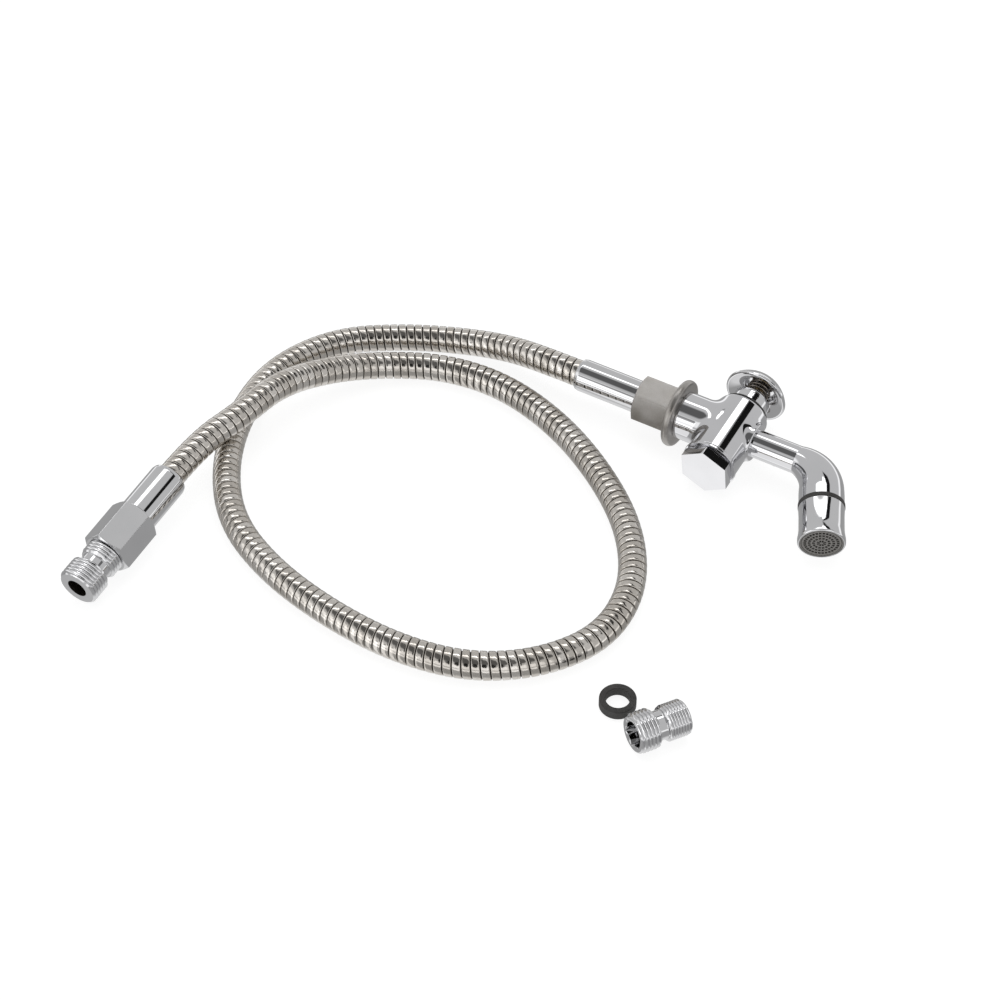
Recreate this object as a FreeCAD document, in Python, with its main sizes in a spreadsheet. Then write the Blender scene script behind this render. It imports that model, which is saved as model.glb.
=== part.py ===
import FreeCAD, Part
import math
import os

import Sketcher

# A hand-held push-button rinse faucet on a flexible steel hose, lying on a flat surface.
# Head frame: +X runs from the hose to the spout, +Y from the valve to the button, +Z up.
# The head lies on the rim of its hook flange, rolled a little towards the hexagonal cap.

Vector = FreeCAD.Vector
Rotation = FreeCAD.Rotation
Placement = FreeCAD.Placement

SIZES = {
    # place of the whole object in its own frame
    "shift_x": (2.78, "from the frame's origin to the middle of the valve, along X"),
    "shift_y": (76.37, "from the frame's origin to the middle of the valve, along Y"),
    "head_roll": (5.1, "degrees that the cap side of the head dips"),
    "spout_roll": (3.1, "degrees that the spout is screwed in past the cap"),
    # valve body, a brass casting bored along Y
    "body_radius": (13.5, "main barrel"),
    "body_front": (21.5, "from the spout axis to the cap end"),
    "body_back": (15.3, "from the spout axis to the bonnet end"),
    "inlet_boss_radius": (12.15, "boss towards the hose"),
    "inlet_boss_length": (26.0, "from the barrel's axis to the hook flange"),
    "spigot_radius": (9.5, "male thread inside the collar, 3/4-14 UN"),
    "spigot_length": (9.0, "male thread inside the collar"),
    "spout_boss_radius": (9.8, "boss around the spout"),
    "spout_boss_length": (14.2, "from the barrel's axis to the spout boss's face"),
    "boss_blend": (4.0, "casting fillet where the inlet boss meets the barrel"),
    "edge_blend": (1.0, "small casting fillets"),
    "chamber_radius": (9.6, "inlet chamber under the cap"),
    "cap_thread_radius": (11.2, "thread of the cap"),
    "cap_thread_length": (9.0, "thread of the cap"),
    "seat_wall_front": (1.8, "seat wall, inlet side, from the spout axis"),
    "seat_wall_back": (1.8, "seat wall, outlet side, from the spout axis"),
    "outlet_chamber_radius": (7.2, "chamber behind the seat"),
    "bonnet_thread_radius": (8.6, "thread of the bonnet"),
    "bonnet_thread_length": (7.5, "thread of the bonnet"),
    "water_way_radius": (2.9, "inlet and outlet drillings"),
    "water_way_offset": (5.0, "inlet and outlet drillings, off the spout axis"),
    "bore_gap": (0.1, "play of the screw threads"),
    "fit_gap": (0.05, "play between parts that are pressed or laid together"),
    "slide_gap": (0.06, "play round the stem where it slides"),
    "small_bevel": (0.5, "lead-in bevels of small turned parts"),
    # cap
    "cap_across_flats": (23.8, "hexagon"),
    "cap_hex_length": (5.9, "hexagon"),
    "cap_collar_radius": (14.0, "round collar under the hexagon"),
    "cap_collar_length": (1.2, "round collar under the hexagon"),
    "cap_hollow_radius": (7.8, "inside of the cap"),
    "cap_end_wall": (2.5, "end wall of the cap"),
    "cap_turn": (26.8, "degrees that the hexagon is turned about its axis"),
    "gasket_thickness": (1.0, "flat sealing rings"),
    # seat, poppet and stem
    "seat_radius": (5.6, "pressed seat ring"),
    "seat_bore": (4.0, "water way through the seat"),
    "seat_lip": (1.4, "seat ring standing into the inlet chamber"),
    "seat_lip_slope": (0.7, "sloped outside of the seat's lip"),
    "washer_disc_radius": (5.4, "rubber disc that closes the seat"),
    "washer_disc_thickness": (2.4, "rubber disc"),
    "holder_radius": (6.6, "brass holder of the rubber disc"),
    "holder_thickness": (1.8, "back wall of the holder"),
    "holder_lip": (1.44, "rim of the holder round the rubber disc"),
    "stem_radius": (2.5, "stem through the bonnet"),
    "stem_neck_radius": (1.5, "threaded end through the rubber disc"),
    "nut_across_flats": (5.5, "poppet nut"),
    "nut_thickness": (2.4, "poppet nut"),
    "stem_tip": (0.5, "end of the stem past the nut"),
    "button_travel": (5.5, "stroke of the button"),
    # bonnet, spring and button
    "bonnet_radius": (9.6, "bonnet outside the body"),
    "bonnet_end": (24.1, "from the spout axis to the bonnet's outer face"),
    "spring_seat": (20.6, "from the spout axis to the bottom of the spring's recess"),
    "bonnet_turn": (20.0, "degrees that the spanner holes are turned"),
    "bonnet_bevel": (0.6, "outer edge of the bonnet"),
    "bonnet_gasket_bulge": (2.6, "black ring standing out past the bonnet"),
    "spring_recess_radius": (6.9, "spring's recess in the bonnet"),
    "spanner_hole_radius": (1.8, "two drilled holes that take a pin spanner"),
    "spanner_hole_depth": (1.6, "drilled holes"),
    "spanner_hole_offset": (0.8, "drilled holes, from the middle of the bonnet towards the button"),
    "seal_section": (1.8, "grooves of the stem O-rings"),
    "seal_start": (2.4, "from the bonnet's inner end to the first O-ring"),
    "seal_pitch": (3.6, "from the first O-ring to the second"),
    "spring_radius": (5.55, "to the middle of the wire"),
    "wire_radius": (0.6, "spring wire"),
    "spring_turns": (6.0, "turns of the return spring"),
    "button_radius": (16.2, "rim of the button"),
    "button_rim": (27.6, "from the spout axis to the rim's near edge"),
    "button_rim_length": (2.8, "straight side of the rim"),
    "button_crown": (38.4, "from the spout axis to the top of the crown"),
    "button_bowl_sphere": (10.7, "radius of the hollow under the crown"),
    "button_lip": (1.3, "wall of the button at its rim"),
    "crown_wall": (1.5, "wall of the button over the end of the stem"),
    "button_seat_radius": (7.2, "flat that the spring stands on in the button"),
    "button_seat": (35.2, "from the spout axis to the spring's seat in the button"),
    "button_hub_radius": (4.3, "hub on the stem"),
    "button_hub_end": (30.5, "from the spout axis to the hub's near face"),
    # spout
    "pipe_radius": (7.1, "spout pipe"),
    "pipe_wall": (1.5, "spout pipe"),
    "pipe_start": (11.0, "from the barrel's axis to the pipe's screwed end"),
    "pipe_end": (37.0, "from the barrel's axis to the elbow"),
    "elbow_corner": (49.8, "from the barrel's axis to where the spout's two axes cross"),
    "elbow_angle": (64.4, "degrees that the elbow turns towards the cap"),
    "elbow_start_radius": (7.2, "elbow where the pipe enters"),
    "elbow_end_radius": (11.1, "elbow at the sealing ring"),
    "elbow_wall": (2.0, "elbow casting"),
    "elbow_swell_end": (0.85, "share of the elbow's length by which it has its full width"),
    "elbow_swell_power": (1.8, "how early the elbow swells; 1 is evenly"),
    "elbow_leg": (21.7, "from the corner to the sealing ring"),
    "ring_radius": (11.45, "black ring above the aerator"),
    "ring_thickness": (2.5, "black ring above the aerator"),
    "ring_bore": (8.1, "black ring above the aerator"),
    "spray_reach": (44.9, "from the corner to the aerator's mouth"),
    "housing_top_radius": (11.25, "aerator housing at the ring"),
    "housing_waist_radius": (11.0, "aerator housing, narrowest"),
    "housing_mouth_radius": (11.6, "aerator housing at the mouth"),
    "housing_wall": (1.0, "aerator housing at the mouth"),
    "housing_neck": (5.0, "from the ring to the housing's waist"),
    "housing_flare": (7.0, "from the housing's waist to the mouth"),
    "housing_band": (2.5, "widest band at the mouth"),
    "housing_step": (0.8, "step inside the housing that the restrictor stops on"),
    "housing_step_depth": (13.0, "from the mouth to that step"),
    "insert_recess": (0.4, "face of the insert behind the housing's lip"),
    "insert_length": (4.2, "plastic insert with its rings of slots"),
    "slot_ring_count": (4.0, "rings of slots in the insert"),
    "slot_ring_pitch": (2.07, "from one ring of slots to the next"),
    "slot_ring_first": (1.7, "radius of the innermost ring of slots"),
    "slot_width": (1.0, "slots of the insert"),
    "slot_depth": (0.5, "slots of the insert"),
    "screen_thickness": (0.5, "wire screen"),
    "restrictor_thickness": (3.0, "flow restrictor"),
    "restrictor_hole_radius": (0.6, "flow restrictor"),
    "restrictor_ring_radius": (5.0, "circle that the restrictor's holes are drilled on"),
    # hook collar and outlet end of the hose
    "collar_across_flats": (23.0, "hexagon of the collar"),
    "collar_start": (49.8, "from the barrel's axis to the collar's hose end"),
    "flange_radius": (17.4, "hook flange"),
    "flange_thickness": (4.2, "hook flange"),
    "flange_round": (1.9, "rounded rim of the flange"),
    "collar_turn": (38.7, "degrees that the collar's hexagon is turned"),
    "outlet_ferrule_radius": (8.4, "crimped sleeve at the head"),
    "outlet_ferrule_end": (85.0, "from the barrel's axis to the sleeve's hose end"),
    "ferrule_round": (2.2, "length of the rounded mouths of both sleeves"),
    "ferrule_round_width": (1.32, "width of the rounded mouths"),
    "ferrule_round_radius": (2.6, "arc of the rounded mouths"),
    "ferrule_bevel": (0.6, "other ends of both sleeves"),
    "tail_radius": (5.2, "tube that the hose is crimped onto"),
    "tail_bore": (3.6, "water way of the tube"),
    # hose and its inlet end
    "hose_radius": (6.9, "strip-wound hose, outside"),
    "hose_bore": (5.3, "strip-wound hose, inside"),
    "hose_grip": (4.0, "hose inside the mouth of a sleeve"),
    "inlet_height": (17.45, "axis above the surface at the hose end of the inlet sleeve"),
    "inlet_dip": (5.3, "degrees that the inlet end slopes down to the nipple"),
    "inlet_x": (-221.0, "hose end of the inlet sleeve, from the barrel's axis"),
    "inlet_y": (-165.3, "hose end of the inlet sleeve, from the spout axis"),
    "inlet_heading": (0.4, "degrees that the inlet end turns from -Y towards +X"),
    "inlet_ferrule_radius": (9.5, "crimped sleeve at the inlet"),
    "inlet_ferrule_length": (28.6, "crimped sleeve at the inlet"),
    "coupling_across_flats": (22.2, "inlet hexagon, 7/8 in"),
    "coupling_length": (25.0, "inlet hexagon"),
    "coupling_turn": (10.0, "degrees that the inlet hexagon is turned"),
    "nipple_inner_radius": (9.525, "nipple's thread in the hexagon, 3/4-14 UN"),
    "nipple_inner_length": (7.0, "that thread, outside the hexagon"),
    "nipple_neck_radius": (7.6, "plain neck between the two threads"),
    "nipple_neck_length": (4.2, "plain neck between the two threads"),
    "nipple_outer_radius": (10.3, "nipple's outer thread, 1/2-14 NPSM"),
    "nipple_outer_length": (11.7, "nipple's outer thread"),
    "nipple_bore": (5.1, "nipple's water way"),
    "thread_chamfer": (0.8, "lead-in chamfer of the threads"),
    # loose double-male adapter and loose washer
    "adapter_x": (45.6, "adapter's large end, from the barrel's axis"),
    "adapter_y": (-186.3, "adapter's large end, from the spout axis"),
    "adapter_heading": (57.0, "degrees from +X towards +Y"),
    "adapter_large_radius": (9.525, "3/4-14 UN thread"),
    "adapter_large_length": (10.4, "3/4-14 UN thread"),
    "adapter_neck_radius": (6.9, "plain neck"),
    "adapter_neck_length": (4.6, "plain neck"),
    "adapter_small_radius": (8.55, "3/8 NPT thread"),
    "adapter_small_length": (11.4, "3/8 NPT thread"),
    "adapter_socket": (12.0, "hexagonal socket in the large end, across flats"),
    "adapter_socket_depth": (9.0, "hexagonal socket in the large end"),
    "adapter_bore": (5.2, "round water way of the rest of the adapter"),
    "spare_washer_x": (28.1, "loose washer, from the barrel's axis"),
    "spare_washer_y": (-167.4, "loose washer, from the spout axis"),
    "spare_washer_radius": (8.6, "loose washer, outside"),
    "spare_washer_bore": (5.6, "loose washer, inside"),
    "spare_washer_thickness": (5.0, "loose washer"),
}

# The hose's route from the inlet sleeve to the outlet sleeve: X, Y and the height of its middle,
# measured from the middle of the valve and the surface.  The two ends lie in the sleeves, and
# the second and the last but one point lie on the sleeves' axes.
HOSE_ROUTE = [
    (-221.2, -141.0, 19.7),
    (-213.5, -115.0, 21.8),
    (-210.0, -87.0, 21.4),
    (-199.0, -59.0, 14.0),
    (-180.0, -36.0, 8.0),
    (-152.0, -20.5, 6.9),
    (-118.0, -17.5, 6.9),
    (-80.0, -28.5, 6.9),
    (-44.0, -49.5, 6.9),
    (-15.0, -75.0, 6.9),
    (3.5, -106.0, 6.9),
    (6.0, -139.0, 6.9),
    (-10.0, -167.0, 6.9),
    (-37.0, -187.0, 6.9),
    (-72.0, -194.5, 6.9),
    (-111.0, -192.5, 6.9),
    (-151.0, -183.5, 6.9),
    (-185.0, -166.5, 6.9),
    (-209.0, -138.0, 6.9),
    (-224.0, -103.0, 6.9),
    (-227.5, -66.0, 6.9),
    (-212.0, -32.0, 6.9),
    (-182.0, -11.0, 6.9),
    (-152.0, 1.5, 7.6),
    (-127.5, 3.5, 12.2),
    (-104.0, 0.0, 17.4),
]

RESTRICTOR_HOLES = 8
WIRE_SIDES = 12        # sides of the spring wire's section
ELBOW_SECTIONS = 9
ROUTE_REACH = 0.45     # share of a straight run of the route that each of its two arcs takes
FACE_CIRCLE = 0.97     # turned face of a hexagon, against its width across flats
CORNER_CIRCLE = 1.24   # circle outside the corners of a hexagon, against its width across flats
CROWN_SLOPE = 30       # degrees that the corners of a hexagon are turned down

document = FreeCAD.newDocument("rinse_faucet")
sheet = document.addObject("Spreadsheet::Sheet", "Dimensions")


class Size:
    """A length that knows its number and the spreadsheet formula that it comes from."""

    def __init__(self, value, formula):
        self.value = float(value)
        self.formula = formula

    @staticmethod
    def of(other):
        return other if isinstance(other, Size) else Size(other, repr(float(other)))

    def _with(self, sign, other, value):
        return Size(value, f"({self.formula} {sign} {Size.of(other).formula})")

    def __add__(self, other):
        return self._with("+", other, self.value + Size.of(other).value)

    def __sub__(self, other):
        return self._with("-", other, self.value - Size.of(other).value)

    def __mul__(self, other):
        return self._with("*", other, self.value * Size.of(other).value)

    def __truediv__(self, other):
        return self._with("/", other, self.value / Size.of(other).value)

    def __rsub__(self, other):
        return Size.of(other) - self

    def __neg__(self):
        return Size(-self.value, f"(-1 * {self.formula})")

    __radd__ = __add__
    __rmul__ = __mul__


def fill_sheet():
    """Write every dimension into the sheet, one row each, under its own alias."""
    for row, (alias, (value, note)) in enumerate(SIZES.items(), start=1):
        sheet.set(f"A{row}", alias)
        sheet.set(f"B{row}", str(value))
        sheet.set(f"C{row}", note)
        sheet.setAlias(f"B{row}", alias)
    document.recompute()


def size(alias):
    return Size(sheet.get(alias), f"Dimensions.{alias}")


def number(alias):
    return float(sheet.get(alias))


# ---------------------------------------------------------------- placements

def turn(axis, degrees):
    return Placement(Vector(), Rotation(axis, degrees))


def move(x, y, z):
    return Placement(Vector(x, y, z), Rotation())


X_AXIS, Y_AXIS, Z_AXIS = Vector(1, 0, 0), Vector(0, 1, 0), Vector(0, 0, 1)
Z_TO_X = turn(Y_AXIS, 90)
Z_TO_Y = turn(X_AXIS, -90)


def on_surface(x, y, z):
    """A point given from the middle of the valve, in the frame of the whole object."""
    return move(x + number("shift_x"), y + number("shift_y"), z)


def head():
    return on_surface(0, 0, number("flange_radius")) * turn(X_AXIS, number("head_roll"))


def spout():
    """The aerator's axis: local Z leaves the corner of the elbow towards the mouth."""
    corner = move(number("elbow_corner"), 0, 0)
    roll = turn(X_AXIS, number("spout_roll"))
    return head() * roll * corner * turn(Z_AXIS, -number("elbow_angle")) * Z_TO_X


def inlet():
    """The inlet end: local Z runs from the hose end of the sleeve to the end of the nipple."""
    start = on_surface(number("inlet_x"), number("inlet_y"), number("inlet_height"))
    heading = turn(Z_AXIS, number("inlet_heading") - 90)
    return start * heading * turn(Y_AXIS, number("inlet_dip")) * Z_TO_X


def adapter():
    """The loose adapter lies on both threads, so it dips towards the smaller one."""
    drop = number("adapter_large_radius") - number("adapter_small_radius")
    near_contact = number("adapter_large_length") - number("thread_chamfer")
    run = number("adapter_neck_length") + number("adapter_small_length")
    tilt = math.atan2(drop, run)
    lift = number("adapter_large_radius") * math.cos(tilt) + near_contact * math.sin(tilt)
    start = on_surface(number("adapter_x"), number("adapter_y"), lift)
    heading = turn(Z_AXIS, number("adapter_heading"))
    return start * heading * turn(Y_AXIS, math.degrees(tilt)) * Z_TO_X


# ---------------------------------------------------------------- sketches and features

def new_body(name, placement):
    body = document.addObject("PartDesign::Body", name)
    body.Label = name
    body.Placement = placement
    return body


def new_sketch(body, role):
    sketch = body.newObject("Sketcher::SketchObject", f"{body.Label}_sketch")
    plane = next(item for item in body.Origin.OriginFeatures if item.Role == role)
    sketch.AttachmentSupport = [(plane, "")]
    sketch.MapMode = "FlatFace"
    return sketch


def bind(sketch, kind, places, length):
    """Add one dimension to a sketch and tie it to the spreadsheet."""
    index = sketch.addConstraint(Sketcher.Constraint(kind, *places, length.value))
    sketch.setExpression(f"Constraints[{index}]", length.formula)


def arc_centre(first, last, radius):
    """The centre of an arc that turns left from first to last; a negative radius turns right."""
    chord = last - first
    half = chord.Length / 2
    height = math.sqrt(max(radius * radius - half * half, 0.0))
    left = Vector(-chord.y, chord.x, 0).normalize()
    return (first + last) / 2 + left * height * (1 if radius > 0 else -1)


def draw_outline(sketch, points):
    """A closed outline.  A point is (across, along), or (across, along, radius) after an arc."""
    sizes = [tuple(Size.of(part) for part in point) for point in points]
    corners = [Vector(point[0].value, point[1].value, 0) for point in sizes]
    count = len(corners)
    starts = []
    for index in range(count):
        first, last = corners[index], corners[(index + 1) % count]
        bend = sizes[(index + 1) % count][2:]
        if not bend:
            sketch.addGeometry(Part.LineSegment(first, last), False)
            starts.append(1)
            continue
        radius = bend[0].value
        centre = arc_centre(first, last, radius)
        circle = Part.Circle(centre, Vector(0, 0, 1), abs(radius))
        ends = (first, last) if radius > 0 else (last, first)
        angles = [math.atan2(end.y - centre.y, end.x - centre.x) for end in ends]
        sketch.addGeometry(Part.ArcOfCircle(circle, *angles), False)
        starts.append(1 if radius > 0 else 2)
    for index in range(count):
        after = (index + 1) % count
        sketch.addConstraint(
            Sketcher.Constraint("Coincident", index, 3 - starts[index], after, starts[after])
        )
        place = (-1, 1, index, starts[index])
        bind(sketch, "DistanceX", place, sizes[index][0])
        bind(sketch, "DistanceY", place, sizes[index][1])
        bend = sizes[after][2:]
        if bend:
            size_of_arc = bend[0] if bend[0].value > 0 else -bend[0]
            bind(sketch, "Radius", (index,), size_of_arc)


def revolve(body, points, kind="Revolution"):
    """Turn an outline of (radius, along) points about the body's Z axis."""
    sketch = new_sketch(body, "XZ_Plane")
    draw_outline(sketch, points)
    before = body.Shape.Volume if body.Tip else 0.0
    feature = body.newObject(f"PartDesign::{kind}", f"{body.Label}_{kind.lower()}")
    feature.Profile = sketch
    feature.ReferenceAxis = (sketch, ["V_Axis"])
    feature.Angle = 360
    document.recompute()
    if kind == "Groove":
        assert body.Shape.Volume < before - 0.01, f"{body.Label}: the groove cuts nothing"
    return feature


def tube_outline(outer, inner, start, end, bevel=0.0):
    """The section of a round tube, bevelled at both outer ends."""
    bevel = Size.of(bevel)
    if bevel.value == 0:
        return [(inner, start), (outer, start), (outer, end), (inner, end)]
    return [
        (inner, start), (outer - bevel, start), (outer, start + bevel),
        (outer, end - bevel), (outer - bevel, end), (inner, end),
    ]


def turned(name, placement, points):
    body = new_body(name, placement)
    revolve(body, points)
    return body


def draw_polygon(sketch, across_flats, sides=6):
    """A regular polygon about the origin with a corner on the sketch's X axis."""
    corner = across_flats.value / 2 / math.cos(math.pi / sides)
    points = [
        Vector(corner * math.cos(2 * math.pi * k / sides), corner * math.sin(2 * math.pi * k / sides), 0)
        for k in range(sides)
    ]
    for first, last in zip(points, points[1:] + points[:1]):
        sketch.addGeometry(Part.LineSegment(first, last), False)
    for index in range(sides):
        after = (index + 1) % sides
        sketch.addConstraint(Sketcher.Constraint("Coincident", index, 2, after, 1))
    guide = sketch.addGeometry(Part.Circle(Vector(), Vector(0, 0, 1), corner), True)
    sketch.addConstraint(Sketcher.Constraint("Coincident", guide, 3, -1, 1))
    for index in range(sides):
        sketch.addConstraint(Sketcher.Constraint("PointOnObject", index, 1, guide))
        if index:
            sketch.addConstraint(Sketcher.Constraint("Equal", 0, index))
    sketch.addConstraint(Sketcher.Constraint("PointOnObject", 0, 1, -1))
    bind(sketch, "Radius", (guide,), across_flats / (2 * math.cos(math.pi / sides)))


def draw_circle(sketch, radius, across=0.0, along=0.0):
    across, along = Size.of(across), Size.of(along)
    centre = Vector(across.value, along.value, 0)
    index = sketch.addGeometry(Part.Circle(centre, Vector(0, 0, 1), radius.value), False)
    bind(sketch, "DistanceX", (-1, 1, index, 3), across)
    bind(sketch, "DistanceY", (-1, 1, index, 3), along)
    bind(sketch, "Radius", (index,), radius)


def extrude(body, role, draw, start, end, kind="Pad"):
    """Pad or pocket a drawing on an origin plane, between two heights above that plane."""
    sketch = new_sketch(body, role)
    sketch.setExpression("AttachmentOffset.Base.z", Size.of(start).formula)
    draw(sketch)
    before = body.Shape.Volume if body.Tip else 0.0
    feature = body.newObject(f"PartDesign::{kind}", f"{body.Label}_{kind.lower()}")
    feature.Profile = sketch
    feature.setExpression("Length", (Size.of(end) - start).formula)
    if kind == "Pocket":
        feature.Reversed = True
    document.recompute()
    if kind == "Pocket":
        assert body.Shape.Volume < before - 0.01, f"{body.Label}: the pocket cuts nothing"
    return feature


def round_edges(body, radius, chosen):
    """Fillet the edges of a body that a test picks out."""
    base = body.Tip
    names = [f"Edge{i}" for i, edge in enumerate(base.Shape.Edges, start=1) if chosen(edge)]
    assert names, f"{body.Label}: no edge to round"
    fillet = body.newObject("PartDesign::Fillet", f"{body.Label}_fillet")
    fillet.Base = (base, names)
    fillet.setExpression("Radius", radius.formula)
    document.recompute()
    return fillet


def crown_corners(body, across_flats, start, end, at_end):
    """Turn down the corners of a hexagon at one end, as on a bar-turned nut."""
    face, corner = across_flats / 2 * FACE_CIRCLE, across_flats / 2 * CORNER_CIRCLE
    slope = (corner - face) * math.tan(math.radians(CROWN_SLOPE))
    if at_end:
        points = [(face, end), (corner, end), (corner, end - slope)]
    else:
        points = [(face, start), (corner, start + slope), (corner, start)]
    revolve(body, points, "Groove")


# ---------------------------------------------------------------- valve

def valve_body():
    front, back = -size("body_front"), size("body_back")
    body = new_body("valve_body", head() * Z_TO_Y)
    barrel = size("body_radius")
    revolve(body, tube_outline(barrel, 0, front, back, size("edge_blend")))
    boss = size("inlet_boss_radius")
    spigot = size("spigot_radius")
    boss_end = -size("inlet_boss_length")
    extrude(body, "YZ_Plane", lambda s: draw_circle(s, boss), boss_end, 0)

    def meets_barrel(edge):
        box = edge.BoundBox
        return box.XMax < -1 and box.XLength > 1 and box.YLength > barrel.value
    round_edges(body, size("boss_blend"), meets_barrel)
    extrude(body, "YZ_Plane", lambda s: draw_circle(s, spigot), boss_end - size("spigot_length"), boss_end)
    spout_boss = size("spout_boss_radius")
    extrude(body, "YZ_Plane", lambda s: draw_circle(s, spout_boss), 0, size("spout_boss_length"))

    cap_bore = size("cap_thread_radius")
    step = front + size("cap_thread_length") + size("gasket_thickness")
    wall_front, wall_back = -size("seat_wall_front"), size("seat_wall_back")
    chamber = size("chamber_radius")
    seat = size("seat_radius")
    outlet = size("outlet_chamber_radius")
    bonnet_bore = size("bonnet_thread_radius")
    bonnet_step = back - size("bonnet_thread_length")
    revolve(body, [
        (0, front), (cap_bore, front), (cap_bore, step), (chamber, step), (chamber, wall_front),
        (seat, wall_front), (seat, wall_back), (outlet, wall_back), (outlet, bonnet_step),
        (bonnet_bore, bonnet_step), (bonnet_bore, back), (0, back),
    ], "Groove")
    way, offset = size("water_way_radius"), size("water_way_offset")
    extrude(body, "YZ_Plane", lambda s: draw_circle(s, way, 0, -offset),
            boss_end - size("spigot_length"), 0, "Pocket")
    extrude(body, "YZ_Plane", lambda s: draw_circle(s, way, 0, offset),
            0, size("spout_boss_length"), "Pocket")
    pipe = size("pipe_radius")
    extrude(body, "YZ_Plane", lambda s: draw_circle(s, pipe),
            size("pipe_start"), size("spout_boss_length"), "Pocket")
    return body


def hex_cap():
    outer_end = -(size("body_front") + size("cap_collar_length") + size("cap_hex_length"))
    collar_end = -(size("body_front") + size("cap_collar_length"))
    face = -size("body_front")
    thread_end = face + size("cap_thread_length")
    flats = size("cap_across_flats")
    body = new_body("hex_cap", head() * Z_TO_Y * turn(Z_AXIS, number("cap_turn")))
    extrude(body, "XY_Plane", lambda s: draw_polygon(s, flats), outer_end, collar_end)
    crown_corners(body, flats, outer_end, collar_end, at_end=True)
    thread = size("cap_thread_radius") - size("bore_gap")
    hollow = size("cap_hollow_radius")
    collar = size("cap_collar_radius")
    bevel = size("edge_blend") / 4
    revolve(body, [
        (0, collar_end), (collar - bevel, collar_end), (collar, collar_end + bevel),
        (collar, face), (thread, face), (thread, thread_end), (0, thread_end),
    ])
    bottom = outer_end + size("cap_end_wall")
    revolve(body, [(0, bottom), (hollow, bottom), (hollow, thread_end), (0, thread_end)], "Groove")
    return body


def flat_ring(name, placement, outer, inner, start, thickness):
    return turned(name, placement, tube_outline(outer, inner, start, start + thickness))


def cap_gasket():
    start = -size("body_front") + size("cap_thread_length")
    outer = size("cap_thread_radius") - size("bore_gap")
    return flat_ring("cap_gasket", head() * Z_TO_Y, outer, size("chamber_radius"), start,
                     size("gasket_thickness"))


def valve_seat():
    """A pressed ring whose lip stands into the inlet chamber."""
    front = -(size("seat_wall_front") + size("seat_lip"))
    back = size("seat_wall_back")
    outer, bore = size("seat_radius"), size("seat_bore")
    slope_end = front + size("seat_lip_slope")
    return turned("valve_seat", head() * Z_TO_Y, [
        (bore, front), (bore + size("small_bevel"), front), (outer, slope_end), (outer, back),
        (bore, back),
    ])


def disc_face():
    """Where the rubber disc meets the seat's lip, with the button out."""
    return -(size("seat_wall_front") + size("seat_lip") + size("fit_gap"))


def seat_disc():
    face = disc_face()
    back = face - size("washer_disc_thickness")
    return turned("seat_disc", head() * Z_TO_Y, tube_outline(
        size("washer_disc_radius"), size("stem_neck_radius"), back, face))


def disc_holder():
    face = disc_face() - size("washer_disc_thickness")
    back = face - size("holder_thickness")
    rim, disc, neck = size("holder_radius"), size("washer_disc_radius"), size("stem_neck_radius")
    lip, bevel = face + size("holder_lip"), size("small_bevel")
    return turned("disc_holder", head() * Z_TO_Y, [
        (neck, back), (rim - bevel, back), (rim, back + bevel), (rim, lip), (disc, lip),
        (disc, face), (neck, face),
    ])


def poppet_nut():
    near = disc_face() - size("washer_disc_thickness") - size("holder_thickness")
    far = near - size("nut_thickness")
    flats, neck = size("nut_across_flats"), size("stem_neck_radius")
    body = new_body("poppet_nut", head() * Z_TO_Y)
    extrude(body, "XY_Plane", lambda s: draw_polygon(s, flats), far, near)
    crown_corners(body, flats, far, near, at_end=False)
    extrude(body, "XY_Plane", lambda s: draw_circle(s, neck), far, near, "Pocket")
    return body


def stem_end():
    """The blind end of the stem's hole in the crown of the button."""
    return size("button_crown") - size("crown_wall")


def valve_stem():
    face = disc_face()
    nut_end = face - size("washer_disc_thickness") - size("holder_thickness") - size("nut_thickness")
    tip = nut_end - size("stem_tip")
    rod, neck = size("stem_radius"), size("stem_neck_radius")
    bevel = size("small_bevel") / 2
    return turned("valve_stem", head() * Z_TO_Y, [
        (0, tip), (neck - bevel, tip), (neck, tip + bevel), (neck, face), (rod, face),
        (rod, stem_end()), (0, stem_end()),
    ])


def seal_stations():
    """Middles of the two stem seals, along the button's axis."""
    first = size("body_back") - size("bonnet_thread_length") + size("seal_start")
    return [first, first + size("seal_pitch")]


def bonnet():
    thread = size("bonnet_thread_radius") - size("bore_gap")
    inner_end = size("body_back") - size("bonnet_thread_length")
    shoulder = size("body_back") + size("gasket_thickness")
    outer, end = size("bonnet_radius"), size("bonnet_end")
    recess, floor = size("spring_recess_radius"), size("spring_seat")
    bore = size("stem_radius") + size("slide_gap")
    bevel = size("bonnet_bevel")
    place = head() * Z_TO_Y * turn(Z_AXIS, number("bonnet_turn"))
    body = turned("bonnet", place, [
        (bore, inner_end), (thread, inner_end), (thread, shoulder), (outer, shoulder),
        (outer, end - bevel), (outer - bevel, end), (recess, end), (recess, floor), (bore, floor),
    ])
    seal, inside = size("seal_section"), size("stem_radius")
    for station in seal_stations():
        revolve(body, tube_outline(bore + seal, inside, station - seal / 2, station + seal / 2),
                "Groove")
    hole = size("spanner_hole_radius")
    middle = (shoulder + end) / 2 + size("spanner_hole_offset")
    for side in (-1, 1):
        start, stop = sorted(
            (side * number("bonnet_radius"),
             side * (number("bonnet_radius") - number("spanner_hole_depth"))))
        extrude(body, "XZ_Plane", lambda s: draw_circle(s, hole, 0, middle), start, stop, "Pocket")
    return body


def bonnet_gasket():
    outer = size("bonnet_radius") + size("bonnet_gasket_bulge")
    return flat_ring("bonnet_gasket", head() * Z_TO_Y, outer, size("bonnet_thread_radius"),
                     size("body_back"), size("gasket_thickness"))


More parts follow.
